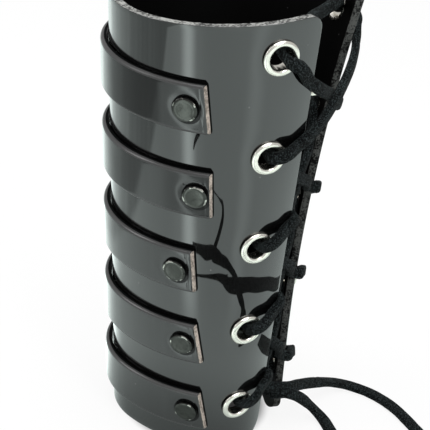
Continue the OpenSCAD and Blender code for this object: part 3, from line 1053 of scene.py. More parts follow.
@dataclass
class Bands:
    """The five riveted bands, each cut at its own length.

    The ends are distances from the flap's cut edge, one for each band, on its high and its low long edge.
    A cut end is drawn in over its last soft_end, by the shares soft_down at its face and soft_in at its
    sides. What lies less than pressed below the face is pushed in round a rivet.
    """

    lowest: float = 21.3
    pitch: float = 34.85
    width: float = 19.0
    thick: float = 2.7
    gap: float = 0.4
    slant: float = 1.3
    lip: float = 0.9
    inner: float = 0.35
    round: float = 1.3
    bead_turns: tuple[int, ...] = (15, 30, 45, 60, 75)
    skew: tuple[float, ...] = (1.3, 0.8, 0.0, 0.0, 0.0)
    ends_top: tuple[float, ...] = (41.65, 36.38, 39.5, 35.73, 31.45)
    ends_bottom: tuple[float, ...] = (36.02, 33.05, 37.07, 31.8, 27.42)
    steps: int = 150
    across: int = 18
    end_zone: float = 3.0
    end_steps: int = 24
    soft_end: float = 0.35
    soft_from: float = 0.4
    soft_down: float = 0.8
    soft_in: float = 0.7
    pressed: float = 0.71
    wave: float = 0.10
    dent: float = 0.42
    dent_r: float = 5.6
    bulge: float = 0.06
    bulge_r: float = 7.6
    bulge_soft: float = 1.6
    crease: float = 0.07
    crease_in: float = 1.7
    crease_soft: float = 0.42
    # Shift of the painted shade ring's centre from each rivet, round the wrap and down, and the distance
    # given to points off the face, which stay out of it
    rivet_shade_shift: Pair = (0.1, -0.9)
    past_rivet_shade: float = 9.0

    @staticmethod
    def height(i: int) -> float:
        """Height of a band's middle; 1 is the highest."""
        return Bands.lowest + Bands.pitch * (len(LEVELS) - i)

    def profile(self) -> list[tuple[float, float, BandFace]]:
        """The band's cross-section, clockwise seen along the wrap.

        Returns:
            Height from the middle, offset from the sheet, and the face that follows.
        """
        half, low, high = self.width / 2, self.gap, self.gap + self.thick
        flat, shoulder, inner = half - self.round, high - self.round, self.inner
        gloss, side, bead = BandFace.GLOSS, BandFace.SIDE, BandFace.BEAD
        points: list[tuple[float, float, BandFace]] = []
        for k in range(self.across + 1):
            along = -half + self.round + (self.width - 2 * self.round) * k / self.across
            points.append((along, high, bead if k == self.across else gloss))
        turns = [math.radians(a) for a in self.bead_turns]
        points += [(flat + self.round * math.sin(a), shoulder + self.round * math.cos(a), bead)
                   for a in turns]
        points += [(half, shoulder, side), (half, low + self.lip, side), (half, low + inner, gloss),
                   (half - inner, low, gloss), (-half + inner, low, gloss), (-half, low + inner, side),
                   (-half, low + self.lip, side), (-half, shoulder, bead)]
        points += [(-flat - self.round * math.sin(a), shoulder + self.round * math.cos(a), bead)
                   for a in reversed(turns)]
        return points

    def press(self, i: int, arc: float, z: float, half_arc: float) -> float:
        """How far the outer face of a band is pushed in at a place.

        Args:
            i: The band.
            arc: Distance from the front line round the sheet.
            z: Height from the band's middle.
            half_arc: Distance of the band's end from the front line.

        Returns:
            Depth in millimetres.
        """
        r = math.hypot(abs(arc) - Rivets.place(i) * FORM.half(self.height(i)), z)
        dent = self.dent * math.exp(-(r / self.dent_r) ** 8)
        bulge = self.bulge * math.exp(-((r - self.bulge_r) / self.bulge_soft) ** 2)
        inwards = half_arc - abs(arc) - self.crease_in
        return dent - bulge + self.crease * math.exp(-(inwards / self.crease_soft) ** 2)

    def rings(self, high_arc: float) -> list[float]:
        """Places of the mesh's rings along a band, as shares of its half, closer together at its ends.

        Args:
            high_arc: Half of the band's length on its high edge.

        Returns:
            The places, from -1 to 1.
        """
        even = [2 * j / self.steps - 1 for j in range(self.steps + 1)]
        span = self.end_zone / high_arc
        ends = [1 - span * (k / self.end_steps) for k in range(1, self.end_steps)]
        return sorted(set(even + ends + [-f for f in ends]))

    def build(self, i: int, finishes: dict[BandFace, bpy.types.Material]) -> bpy.types.Object:
        """Makes one band.

        Args:
            i: The band; 1 is the highest.
            finishes: The material of each kind of face.

        Returns:
            The finished piece.
        """
        z0 = self.height(i)
        half_wide = self.width / 2
        profile = self.profile()
        low_arc = FORM.half(z0 - half_wide) - self.ends_bottom[i - 1]
        high_arc = FORM.half(z0 + half_wide) - self.ends_top[i - 1]
        rings = self.rings(high_arc)
        verts: list[Vector] = []
        turns: list[float] = []
        far: list[float] = []
        for f in rings:
            for dz, off, _ in profile:
                z = z0 + dz
                half_arc = low_arc + (high_arc - low_arc) * (dz + half_wide) / self.width
                slant = self.slant * (off - self.gap) / self.thick
                half_arc += self.skew[i - 1] * 2 * dz / self.width - slant
                arc = f * half_arc
                face = off > self.gap + self.thick - self.pressed
                out = off - (self.press(i, arc, dz, half_arc) if face else 0.0)
                past = self.soft_end - (1 - abs(f)) * half_arc
                if past > 0.0 and off > self.gap + self.soft_from:
                    out -= past * self.soft_down
                if past > 0.0 and abs(dz) > half_wide - self.soft_from:
                    z -= math.copysign(past * self.soft_in, dz)
                wave = self.wave * noise.noise(Vector((f * 3.0, i * 7.3, dz / 30.0)))
                turns.append(arc / FORM.half(z))
                # Distance from the centre of the painted shade ring round the rivet, shifted down from it
                beside = abs(arc) - Rivets.place(i) * FORM.half(z0) - self.rivet_shade_shift[0]
                near = math.hypot(beside, dz - self.rivet_shade_shift[1])
                far.append(near if off > self.gap + 1.5 else self.past_rivet_shade)
                verts.append(to_row(FORM.skin(turns[-1], z, out + wave)))
        faces, slots = self.shell(profile, len(rings))
        piece = mesh_object(f"band_{i}", verts, faces, [finishes[face] for face in BandFace], slots)
        store(piece.data, "turn", turns)
        store(piece.data, "from_rivet", far)
        sharpen(piece, 40.0)
        return piece

    def shell(self, profile: Sequence[tuple[float, float, BandFace]],
              rings: int) -> tuple[list[Sequence[int]], list[int]]:
        """Joins a band's rings and closes its ends, each in two parts: cut fibres over a near-black lower
        part, which is painted shade where the end meets the sheet.

        Args:
            profile: The cross-section.
            rings: How many rings there are.

        Returns:
            The faces and their material slots.
        """
        ring = len(profile)
        faces: list[Sequence[int]] = []
        slots: list[int] = []
        for j in range(rings - 1):
            for k in range(ring):
                a, d = j * ring + k, j * ring + (k + 1) % ring
                faces.append((a, a + ring, d + ring, d))
                slots.append(profile[k][2].value)
        first = self.across + len(self.bead_turns) + 2
        second = first + 5
        # The end's lower part, next to the sheet, takes the near-black side finish as painted shade
        fibres = list(range(first + 1)) + list(range(second, ring))
        under = list(range(first, second + 1))
        last = (rings - 1) * ring
        for part, face in ((fibres, BandFace.END), (under, BandFace.SIDE)):
            faces.append(tuple(part))
            faces.append(tuple(last + k for k in reversed(part)))
            slots += [face.value, face.value]
        return faces, slots


# Turned metal pieces, set out with Geometry Nodes


def lathe(name: str, profile: Sequence[Pair], segments: int, material: bpy.types.Material,
          wobble: float = 0.0, seed: int = 1) -> bpy.types.Object:
    """Turns a closed profile round Z.

    Args:
        name: The piece's name.
        profile: Radius and height of each corner in millimetres; the first and last may lie on the axis.
        segments: How many flats.
        material: Its finish.
        wobble: Random push of each point, in millimetres.
        seed: Seed of the wobble.

    Returns:
        The turned piece.
    """
    draw = random.Random(seed)
    bm = bmesh.new()
    rings: list[list[bmesh.types.BMVert]] = []
    for r, z in profile:
        if r == 0.0:
            rings.append([bm.verts.new((0.0, 0.0, z * MM))])
            continue
        ring = []
        for k in range(segments):
            a = 2 * math.pi * k / segments
            push = r + draw.uniform(-wobble, wobble)
            ring.append(bm.verts.new((push * math.cos(a) * MM, push * math.sin(a) * MM, z * MM)))
        rings.append(ring)
    closed = len(rings[0]) > 1
    for one, two in zip(rings, rings[1:] + rings[:1] if closed else rings[1:]):
        for k in range(segments):
            n = (k + 1) % segments
            corners = [one[k % len(one)], one[n % len(one)], two[n % len(two)], two[k % len(two)]]
            kept = list(dict.fromkeys(corners))
            if len(kept) > 2:
                bm.faces.new(kept)
    bmesh.ops.recalc_face_normals(bm, faces=bm.faces)
    mesh = bpy.data.meshes.new(name)
    bm.to_mesh(mesh)
    bm.free()
    mesh.materials.append(material)
    mesh.polygons.foreach_set("use_smooth", [True] * len(mesh.polygons))
    store(mesh, "radius", [math.hypot(v.co.x, v.co.y) / MM for v in mesh.vertices])
    piece = put_in(name, mesh)
    sharpen(piece, 42.0)
    return piece


class SetOut:
    """A Geometry Nodes tree that stands one template on every point of a carrier mesh."""

    def __init__(self, name: str, material: bpy.types.Material) -> None:
        """Builds the tree with its named inputs.

        Args:
            name: The tree's name.
            material: The copies' finish.
        """
        self.tree = bpy.data.node_groups.new(name, "GeometryNodeTree")
        face = self.tree.interface
        face.new_socket("Geometry", in_out="INPUT", socket_type="NodeSocketGeometry")
        self.template = face.new_socket("Template", in_out="INPUT", socket_type="NodeSocketObject")
        self.size = face.new_socket("Size", in_out="INPUT", socket_type="NodeSocketFloat")
        self.seed = face.new_socket("Turn seed", in_out="INPUT", socket_type="NodeSocketInt")
        face.new_socket("Geometry", in_out="OUTPUT", socket_type="NodeSocketGeometry")
        nodes, links = self.tree.nodes, self.tree.links
        start = nodes.new("NodeGroupInput")
        end = nodes.new("NodeGroupOutput")
        info = nodes.new("GeometryNodeObjectInfo")
        axis = nodes.new("GeometryNodeInputNamedAttribute")
        axis.data_type = "FLOAT_VECTOR"
        axis.inputs["Name"].default_value = "axis"
        align = nodes.new("FunctionNodeAlignRotationToVector")
        align.axis = "Z"
        turn = nodes.new("FunctionNodeRandomValue")
        turn.data_type = "FLOAT"
        turn.inputs[2].default_value = 0.0
        turn.inputs[3].default_value = 2 * math.pi
        euler = nodes.new("ShaderNodeCombineXYZ")
        spin = nodes.new("FunctionNodeEulerToRotation")
        rotate = nodes.new("FunctionNodeRotateRotation")
        rotate.rotation_space = "LOCAL"
        points = nodes.new("GeometryNodeMeshToPoints")
        place = nodes.new("GeometryNodeInstanceOnPoints")
        real = nodes.new("GeometryNodeRealizeInstances")
        paint = nodes.new("GeometryNodeSetMaterial")
        paint.inputs["Material"].default_value = material
        links.new(start.outputs["Geometry"], points.inputs["Mesh"])
        links.new(start.outputs["Template"], info.inputs["Object"])
        links.new(start.outputs["Turn seed"], turn.inputs["Seed"])
        links.new(turn.outputs[1], euler.inputs["Z"])
        links.new(euler.outputs[0], spin.inputs[0])
        links.new(axis.outputs[0], align.inputs["Vector"])
        links.new(align.outputs[0], rotate.inputs["Rotation"])
        links.new(spin.outputs[0], rotate.inputs["Rotate By"])
        links.new(points.outputs[0], place.inputs["Points"])
        links.new(info.outputs["Geometry"], place.inputs["Instance"])
        links.new(rotate.outputs[0], place.inputs["Rotation"])
        links.new(start.outputs["Size"], place.inputs["Scale"])
        links.new(place.outputs[0], real.inputs[0])
        links.new(real.outputs[0], paint.inputs[0])
        links.new(paint.outputs[0], end.inputs[0])

    def run(self, name: str, template: bpy.types.Object, seats: Sequence[tuple[Vector, Vector]],
            size: float = 1.0, seed: int = 1) -> bpy.types.Object:
        """Stands the template on every seat.

        Args:
            name: Name of the finished piece.
            template: What is repeated; it is removed afterwards.
            seats: Place and axis of each copy, in the row frame.
            size: Scale of the copies.
            seed: Seed of each copy's turn about its own axis.

        Returns:
            One plain mesh that holds every copy.
        """
        mesh = bpy.data.meshes.new(name)
        mesh.from_pydata([tuple(p) for p, _ in seats], [], [])
        axis = mesh.attributes.new("axis", "FLOAT_VECTOR", "POINT")
        for k, (_, n) in enumerate(seats):
            axis.data[k].vector = n
        piece = put_in(name, mesh)
        modifier = piece.modifiers.new("set_out", "NODES")
        modifier.node_group = self.tree
        modifier[self.template.identifier] = template
        modifier[self.size.identifier] = size
        modifier[self.seed.identifier] = seed
        bake_down(piece)
        bpy.data.objects.remove(template)
        return piece


@dataclass
class Rivets:
    """The ten two-piece rivets at the ends of the bands.

    The places are distances from the flap's cut edge, one for each band. The profiles are radii and
    heights.
    """

    post: float = 1.5
    seat: float = 3.1
    places: tuple[float, ...] = (46.89, 40.91, 45.84, 40.76, 36.59)
    dome: tuple[Pair, ...] = (
        (0.0, 1.22), (1.2, 1.24), (2.3, 1.26), (2.9, 1.31), (3.3, 1.36), (3.8, 1.35), (4.3, 1.22),
        (4.7, 0.95), (4.93, 0.6), (5.0, 0.25), (4.9, 0.0), (4.5, -0.2), (1.65, -0.2), (1.65, 0.7),
        (0.0, 0.7))
    head: tuple[Pair, ...] = (
        (0.0, -1.32), (1.5, -1.34), (2.9, -1.28), (3.9, -1.05), (4.4, -0.7), (4.5, -0.4), (4.3, -0.1))
    wobble: float = 0.012

    @staticmethod
    def place(i: int) -> float:
        """Place of a band's rivets round the wrap."""
        return 1.0 - Rivets.places[i - 1] / FORM.half(Bands.height(i))

    def seats(self, off: float) -> list[tuple[Vector, Vector]]:
        """Place and axis of every rivet at an offset from the sheet."""
        return FORM.seats(self.place, Bands.height, off)

    def build(self, metal: bpy.types.Material) -> tuple[bpy.types.Object, bpy.types.Object]:
        """Makes the outer caps and the inner caps with their posts.

        Args:
            metal: Their plating.

        Returns:
            The caps and the backs.
        """
        cap = lathe("cap", self.dome, 56, metal, self.wobble, 5)
        caps = SetOut("cap_set_out", metal).run("rivet_caps", cap, self.seats(self.seat - 0.2), 1.0, 3)
        low = -(FORM.wall + self.seat)
        post = [(self.post, low - 0.1), (self.post, 0.55), (0.0, 0.62)]
        profile = [(r, low + h) for r, h in self.head] + post
        back = lathe("back", profile, 48, metal, self.wobble, 8)
        backs = SetOut("back_set_out", metal).run("rivet_backs", back, self.seats(self.seat), 1.0, 4)
        return caps, backs


@dataclass
class Eyelets:
    """The ten rolled eyelets with their split petals inside."""

    lowest: float = 22.6
    pitch: float = 39.5
    edge: float = 15.8
    rim: float = 6.8
    bore: float = 4.2
    wall: float = 0.4
    roll: float = 1.08
    barrel: float = 3.3
    off: float = 0.02
    petals: int = 8
    petal_bend: float = 105.0
    petal_thick: float = 0.32
    petal_rise: float = 0.75
    petal_root: float = -3.2
    petal_gap: float = 0.06
    petal_short: float = 0.75
    petal_ragged: Pair = (-0.35, 0.25)
    petal_taper: float = 0.10
    petal_steps: int = 6
    petal_across: int = 4
    uneven: float = 0.03

    @staticmethod
    def height(i: int) -> float:
        """Height of an eyelet's centre; 1 is the highest."""
        return Eyelets.lowest + Eyelets.pitch * (len(LEVELS) - i)

    @staticmethod
    def place(i: int) -> float:
        """Place of the eyelets of a level round the wrap."""
        return 1.0 - Eyelets.edge / FORM.half(Eyelets.height(i))

    def ring(self, metal: bpy.types.Material) -> bpy.types.Object:
        """The rolled rim and its barrel.

        Args:
            metal: Their plating.

        Returns:
            One eyelet without its petals.
        """
        b, r, outer = self.bore, self.rim, self.bore + self.wall
        profile = [(b, 0.1)]
        for a in range(0, 181, 20):
            t = math.radians(180 - a)
            profile.append(((b + r) / 2 + (r - b) / 2 * math.cos(t), 0.12 + self.roll * math.sin(t)))
        profile += [(r - 0.15, -0.12), (outer, -0.12), (outer, -self.barrel), (b, -self.barrel)]
        return lathe("eyelet", profile, 64, metal, 0.008, 2)

    def petal(self, bm: bmesh.types.BMesh, k: int, draw: random.Random) -> None:
        """Adds one petal, which the setting tool has bent out over the inner face.

        Args:
            bm: The eyelet's mesh.
            k: Which petal.
            draw: Where its unevenness comes from.
        """
        b, steps, across = self.bore, self.petal_steps, self.petal_across
        first, last = k + self.petal_gap, k + (1 - self.petal_gap)
        a0 = 2 * math.pi * (first + draw.uniform(-self.uneven, self.uneven)) / self.petals
        a1 = 2 * math.pi * (last + draw.uniform(-self.uneven, self.uneven)) / self.petals
        reach = self.rim - self.petal_short + draw.uniform(*self.petal_ragged)
        rows: list[list[tuple[Vector, Vector]]] = []
        for step in range(steps + 1):
            f = step / steps
            bend = math.radians(self.petal_bend * f)
            part = (reach - b) * (1 - math.cos(bend)) / (1 - math.cos(math.radians(self.petal_bend)))
            r = b + self.wall / 2 + part
            z = self.petal_root - self.petal_rise * math.sin(bend) ** 0.8 * (1.0 if f < 0.9 else 0.96)
            narrow = self.petal_taper * f * (a1 - a0)
            row = []
            for side in range(across + 1):
                a = a0 + narrow + (a1 - a0 - 2 * narrow) * side / across
                out = Vector((math.cos(a) * math.cos(bend), math.sin(a) * math.cos(bend), -math.sin(bend)))
                row.append((Vector((r * math.cos(a), r * math.sin(a), z)), out))
            rows.append(row)
        half = self.petal_thick / 2
        top = [[bm.verts.new((p + n * half) * MM) for p, n in row] for row in rows]
        low = [[bm.verts.new((p - n * half) * MM) for p, n in row] for row in rows]
        made = []
        for layer in (top, low):
            for u in range(steps):
                for v in range(across):
                    here, there = layer[u], layer[u + 1]
                    made.append(bm.faces.new((here[v], here[v + 1], there[v + 1], there[v])))
        rim_top, rim_low = self.outline(top), self.outline(low)
        for v in range(len(rim_top)):
            w = (v + 1) % len(rim_top)
            made.append(bm.faces.new((rim_top[v], rim_top[w], rim_low[w], rim_low[v])))
        bmesh.ops.recalc_face_normals(bm, faces=made)

    def outline(self, layer: Sequence[list[bmesh.types.BMVert]]) -> list[bmesh.types.BMVert]:
        """The points round one side of a petal.

        Args:
            layer: Its rows of points.

        Returns:
            The points in order.
        """
        last = self.petal_across
        return (layer[0] + [row[last] for row in layer[1:]] + layer[-1][last - 1::-1]
                + [row[0] for row in layer[-2:0:-1]])

    def template(self, metal: bpy.types.Material) -> bpy.types.Object:
        """One eyelet with its petals.

        Args:
            metal: Its plating.

        Returns:
            The eyelet, its axis along Z.
        """
        piece = self.ring(metal)
        bm = bmesh.new()
        bm.from_mesh(piece.data)
        draw = random.Random(12)
        for k in range(self.petals):
            self.petal(bm, k, draw)
        for face in bm.faces:
            face.smooth = True
        bm.to_mesh(piece.data)
        bm.free()
        sharpen(piece, 48.0)
        return piece

    def build(self, metal: bpy.types.Material) -> bpy.types.Object:
        """Makes all ten eyelets as one piece."""
        seats = FORM.seats(self.place, self.height, self.off)
        return SetOut("eyelet_set_out", metal).run("eyelets", self.template(metal), seats, 1.0, 6)


# Lace


@dataclass
class Lace:
    """One lace through all the eyelets, with both free ends on the ground.

    Its section is wide by thick here, and size is the round cord of the solids. A place over the rim is a
    distance from the eyelet's axis, a height over the face, and a share of the slant. Each unevenness is
    its amount and the length of its waves along the lace.
    """

    wide: float = 4.7
    thick: float = 3.0
    size: float = 3.2
    clear: float = 0.2
    cross: float = 3.5
    sunk: float = 1.4
    drop_in: float = 12.0
    drop_out: float = 9.0
    bar_rise: float = 4.2
    bar_bow: float = 1.6
    bar_half: float = 14.0
    bar_slant: float = 7.0
    petal_r: float = 5.8
    petal_h: float = 0.9
    over_rim: tuple[Point, ...] = ((5.8, 2.9, 1.0), (4.2, 2.85, 0.66), (2.3, 1.9, 0.28))
    whole: float = 1500.0
    coil_r: float = 22.0
    coil_pitch: float = 3.9
    coil_z: float = 2.45
    coil_entry: float = 126.9
    coil_steps: int = 24
    ground_z: float = 9.0
    ground_r: float = 46.0
    held_step: float = 4.6
    route_step: float = 7.0
    step: float = 0.9
    sides: int = 16
    square: float = 0.42
    follow: float = 0.6
    uneven_wide: Pair = (0.05, 9.0)
    uneven_thick: Pair = (0.07, 7.0)
    twist: Pair = (0.3, 38.0)
    nap: Pair = (0.02, 1.3)
    right_coil: Pair = (17.6, 115.2)
    left_coil: Pair = (28.0, 62.0)
    right_route: tuple[Point, ...] = (
        (4.8, 28.5, 21.2), (-0.7, 34.6, 19.2), (-6.7, 38.9, 17), (-13, 41, 14.6), (-19.8, 43.2, 11.8),
        (-26.6, 46, 8.9), (-32.8, 49.2, 6.2), (-37.4, 53, 4), (-40.1, 57.2, 2.6), (-41, 61.6, 1.95),
        (-40.7, 66.2, 1.9), (-38.3, 74.6, 1.9), (-34.4, 82, 1.9), (-29.4, 88.4, 1.9), (-24.4, 94.2, 1.9),
        (-17, 103, 1.9), (-8, 115, 2.1))
    left_route: tuple[Point, ...] = (
        (-5, 29, 14.6), (-1, 33.8, 15.5), (-2, 39, 17), (-5, 42.6, 15), (-9, 46, 10.8), (-12, 49.4, 6),
        (-11.8, 54.4, 2.4), (-6.2, 60, 1.9), (0, 65.4, 1.9), (6, 71.4, 2))

    @property
    def inside(self) -> float:
        """Offset of the lace's middle where it lies on the inner face."""
        return -(FORM.wall + self.size / 2 + self.clear)

    @property
    def outside(self) -> float:
        """Offset of the lace's middle where it lies on the outer face."""
        return self.size / 2 + self.clear

    def petal_sag(self, i: int) -> float:
        """How far the petals stand in from the tangent plane on the hollow side."""
        return sag(self.petal_r, FORM.flap_radius(Eyelets.height(i)) - FORM.wall)

    def by_hole(self, side: Side, i: int, r: float, h: float, dz: float) -> Vector:
        """Point r towards the gap from an eyelet's axis and h over the face there."""
        z = Eyelets.height(i) + dz
        return FORM.flap(side, Eyelets.edge - r, z, h + r * r / (2 * FORM.flap_radius(z)))

    def hole_out(self, side: Side, i: int, slant: float) -> list[Vector]:
        """The way in over the rolled rim."""
        return [self.by_hole(side, i, r, h, slant * share) for r, h, share in self.over_rim]

    def hole_mid(self, side: Side, i: int) -> list[Vector]:
        """The way through the barrel."""
        return [self.by_hole(side, i, 1.5, 0.1, 0.0), self.by_hole(side, i, 1.9, -FORM.wall, 0.0)]

    def hole_in(self, side: Side, i: int, slant: float) -> list[Vector]:
        """The way out over the petals.

        Args:
            side: The flap.
            i: The level.
            slant: How far up it goes, in millimetres.

        Returns:
            The points that the lace runs through.
        """
        p = FORM.wall + self.petal_sag(i)
        return [self.by_hole(side, i, 2.6, -p - 1.85, slant * 0.1),
                self.by_hole(side, i, 4.1, -p - self.petal_h - 1.9, slant * 0.3),
                self.by_hole(side, i, 5.8, -p - self.petal_h - 1.8, slant * 0.5)]

    @staticmethod
    def by_edge(side: Side, z: float, places: Sequence[Point]) -> list[Vector]:
        """Points by a flap's edge, each a distance in from it, a rise from z and an offset from the face."""
        return [FORM.flap(side, d, z + rise, off) for d, rise, off in places]

    @staticmethod
    def edge_y(z: float) -> float:
        """Y halfway between the two flaps' outer edges at a height."""
        return (FORM.frame(1.0, z)[0].y + FORM.frame(-1.0, z)[0].y) / 2

    def diagonal(self, side: Side, i: int) -> list[Vector]:
        """From inside one flap, through the gap and round the other flap's edge, to its next eyelet.

        Args:
            side: The flap that it leaves.
            i: The level that it leaves.

        Returns:
            The points that the lace runs through.
        """
        other = Side(-side.value)
        za = Eyelets.height(i) - self.drop_in
        zb = Eyelets.height(i + 1) + self.drop_out
        zm = (za + zb) / 2
        middle = Vector((0, self.edge_y(zm) - self.sunk + side.value * self.cross / 2, zm))
        leave = self.by_edge(side, za, ((4.5, 3.4, self.inside - 0.3), (0.0, 0.0, self.inside)))
        bend = self.by_edge(other, zb, ((-self.outside - 0.1, 0.4, -0.5), (-1.25, 0.1, 1.3),
                                        (0.4, -0.3, self.outside), (4.5, -2.3, self.outside + 0.1)))
        return (self.hole_in(side, i, -2.0) + leave + [middle] + bend
                + self.hole_out(other, i + 1, 4.0) + self.hole_mid(other, i + 1))

    def first_diagonal(self, side: Side, drops: Pair, lift: float) -> list[Vector]:
        """Between the two highest pairs, where the lace crosses outside.

        Args:
            side: The flap that it leaves.
            drops: How far below the one eyelet and above the other it passes the flaps' edges.
            lift: How far outside the edges it crosses.

        Returns:
            The points that the lace runs through.
        """
        other = Side(-side.value)
        za = Eyelets.height(1) - drops[0]
        zb = Eyelets.height(2) + drops[1]
        zm = (za + zb) / 2
        middle = Vector((0, self.edge_y(zm) + lift, zm))
        leave = self.by_edge(side, za, ((4.5, 3.4, self.outside + 0.1), (0.0, 0.0, self.outside + 0.05)))
        land = self.by_edge(other, zb, ((0.0, 0.0, self.outside + 0.05), (4.5, -2.2, self.outside + 0.1)))
        return (self.hole_mid(side, 1)[::-1] + self.hole_out(side, 1, -2.5)[::-1] + leave + [middle] + land
                + self.hole_out(other, 2, 2.5) + self.hole_mid(other, 2))

    def half(self, side: Side, drops: Pair, lift: float, low: float) -> list[Vector]:
        """Half of the lacing, from the middle of the highest bar to the inside of the last eyelet.

        Args:
            side: The flap that its half of the bar goes into.
            drops: Where its first diagonal passes the flaps' edges.
            lift: How far outside the edges that diagonal crosses.
            low: Height of its last point from the last eyelet.

        Returns:
            The points that the lace runs through.
        """
        other = Side(-side.value)
        right, left = (self.hole_in(flap, 1, self.bar_slant)[-1].y for flap in Side)
        y = (right + left) / 2
        z = Eyelets.height(1) + self.bar_rise
        bar = [Vector((side.value * x, y - self.bar_bow * (1 - x / self.bar_half), z))
               for x in (0.0, self.bar_half / 2)]
        end = self.by_edge(side, Eyelets.height(5), ((5.0, low, self.inside - 0.2),))
        return (bar + self.hole_in(side, 1, self.bar_slant)[::-1] + self.first_diagonal(side, drops, lift)
                + self.diagonal(other, 2) + self.diagonal(side, 3) + self.diagonal(other, 4)
                + self.hole_in(side, 5, 0.0) + end)

    def held(self) -> list[Vector]:
        """The whole lacing, from the left flap's last eyelet to the right flap's.

        Returns:
            The points that the lace runs through.
        """
        right = self.half(Side.RIGHT, (12.5, 5.4), 1.9, -1.5)
        left = self.half(Side.LEFT, (8.6, 6.4), 5.4, -3.0)
        return smooth_chain(left[::-1] + right[1:], self.held_step)

    def loops(self, length: float) -> float:
        """How many turns of a coil take up a length."""
        big, pitch = self.coil_r, self.coil_pitch
        return (big - math.sqrt(big * big - pitch * length / math.pi)) / pitch

    def spot(self, middle: Pair, r: float, a: float) -> Vector:
        """Point of a coil at a radius and an angle."""
        return Vector((middle[0] + r * math.cos(a), middle[1] + r * math.sin(a), self.coil_z))

    def onward(self, a: float) -> Vector:
        """One thickness of the lace, the way a coil runs at an angle."""
        return Vector((math.sin(a), -math.cos(a), 0.0)) * self.size

    def coil(self, middle: Pair, length: float) -> list[Vector]:
        """The wound-up length, from the circle where it joins to its cut end.

        Args:
            middle: The coil's middle.
            length: How much is wound up.

        Returns:
            The points that the lace runs through.
        """
        loops = self.loops(length)
        count = math.ceil(loops * self.coil_steps)
        points = []
        for k in range(count + 1):
            a = math.radians(self.coil_entry - 360 * loops * k / count)
            points.append(self.spot(middle, self.coil_r - self.coil_pitch * loops * k / count, a))
        points.append(points[-1] + self.onward(math.radians(self.coil_entry - 360 * loops)))
        return points

    def free(self, start: Vector, route: Sequence[Point], middle: Pair,
             held_length: float) -> tuple[list[Vector], float]:
        """One free end: down from the last eyelet, away over the ground and into its coil.

        Args:
            start: Where the lacing ends.
            route: The way over the ground.
            middle: The coil's middle.
            held_length: Length of the lacing.

        Returns:
            The whole path, and how much of it is wound up.
        """
        a = math.radians(self.coil_entry)
        join = self.spot(middle, self.coil_r, a) - self.onward(a)
        chain = smooth_chain([start] + [Vector(p) for p in route] + [join], self.route_step)
        wound = (self.whole - held_length) / 2 - chain_length(chain) - 2 * self.size
        return chain + self.coil(middle, wound), wound

    def faces(self, p: Vector) -> Vector:
        """Which way the lace's flat side looks at a place.

        Args:
            p: The place, in millimetres.

        Returns:
            Up on the ground, out of the sheet above it, and along Y in the gap.
        """
        if p.z < self.ground_z and math.hypot(p.x, p.y) > self.ground_r:
            return Vector((0.0, 0.0, 1.0))
        side = 1.0 if p.x > 0 else -1.0
        past = abs(p.x) - abs(FORM.frame(side, p.z)[0].x)
        if past < 0.0:
            return Vector((0.0, 1.0, 0.0))
        return FORM.frame(side * (1.0 - past / FORM.half(p.z)), p.z)[2]

    def section(self, run: float, seed: int) -> list[Point]:
        """The cross-section at a distance along the lace.

        Args:
            run: The distance.
            seed: Seed of the unevenness.

        Returns:
            Each corner's place across and up, and by how much the nap swells it.
        """
        (more, more_wave), (fuller, fuller_wave) = self.uneven_wide, self.uneven_thick
        (turn, turn_wave), (rise, rise_wave) = self.twist, self.nap
        wide = self.wide * (1 + more * noise.noise(Vector((run / more_wave, seed, 0.0))))
        thick = self.thick * (1 + fuller * noise.noise(Vector((run / fuller_wave, seed + 5.0, 0.0))))
        tilt = turn * noise.noise(Vector((run / turn_wave, seed + 9.0, 0.0)))
        corners = []
        for n in range(self.sides):
            a = 2 * math.pi * (n + 0.5) / self.sides
            c, s = math.cos(a), math.sin(a)
            x = math.copysign(abs(c) ** self.square, c) * wide / 2
            y = math.copysign(abs(s) ** self.square, s) * thick / 2
            nap = 1 + rise * noise.noise(Vector((run / rise_wave, n * 2.1, seed)))
            across, up = x * math.cos(tilt) - y * math.sin(tilt), x * math.sin(tilt) + y * math.cos(tilt)
            corners.append((across, up, nap))
        return corners

    def sweep(self, name: str, chain: Sequence[Vector], material: bpy.types.Material,
              seed: int) -> tuple[bpy.types.Object, list[Vector]]:
        """Sweeps the lace's flattish cross-section along a path, its flat side to what it lies on.

        Args:
            name: The piece's name.
            chain: The path in millimetres.
            material: The lace's finish.
            seed: Seed of its small unevenness.

        Returns:
            The piece, and its path in the row frame.
        """
        path = smooth_chain(chain, self.step)
        last, sides = len(path) - 1, self.sides
        ways = [(path[min(k + 1, last)] - path[max(k - 1, 0)]).normalized() for k in range(last + 1)]
        up = Vector((0, 0, 1)) if abs(ways[0].z) < 0.9 else Vector((0, 1, 0))
        verts: list[Vector] = []
        run = 0.0
        for k, (p, t) in enumerate(zip(path, ways)):
            up = (up - t * up.dot(t)).normalized()
            want = self.faces(p)
            want = want - t * want.dot(t)
            if want.dot(up) < 0.0:
                want = -want
            up = (up + want * (self.follow * want.length)).normalized()
            across = t.cross(up)
            run += (p - path[k - 1]).length if k else 0.0
            verts += [to_row(p + (across * x + up * y) * nap) for x, y, nap in self.section(run, seed)]
        faces: list[Sequence[int]] = []
        for k in range(last):
            for n in range(sides):
                a, b = k * sides + n, k * sides + (n + 1) % sides
                faces.append((a, b, b + sides, a + sides))
        faces.append(tuple(reversed(range(sides))))
        faces.append(tuple(range(len(verts) - sides, len(verts))))
        piece = mesh_object(name, verts, faces, (material,))
        turn_outwards(piece)
        sharpen(piece, 60.0)
        return piece, [to_row(p) for p in path]


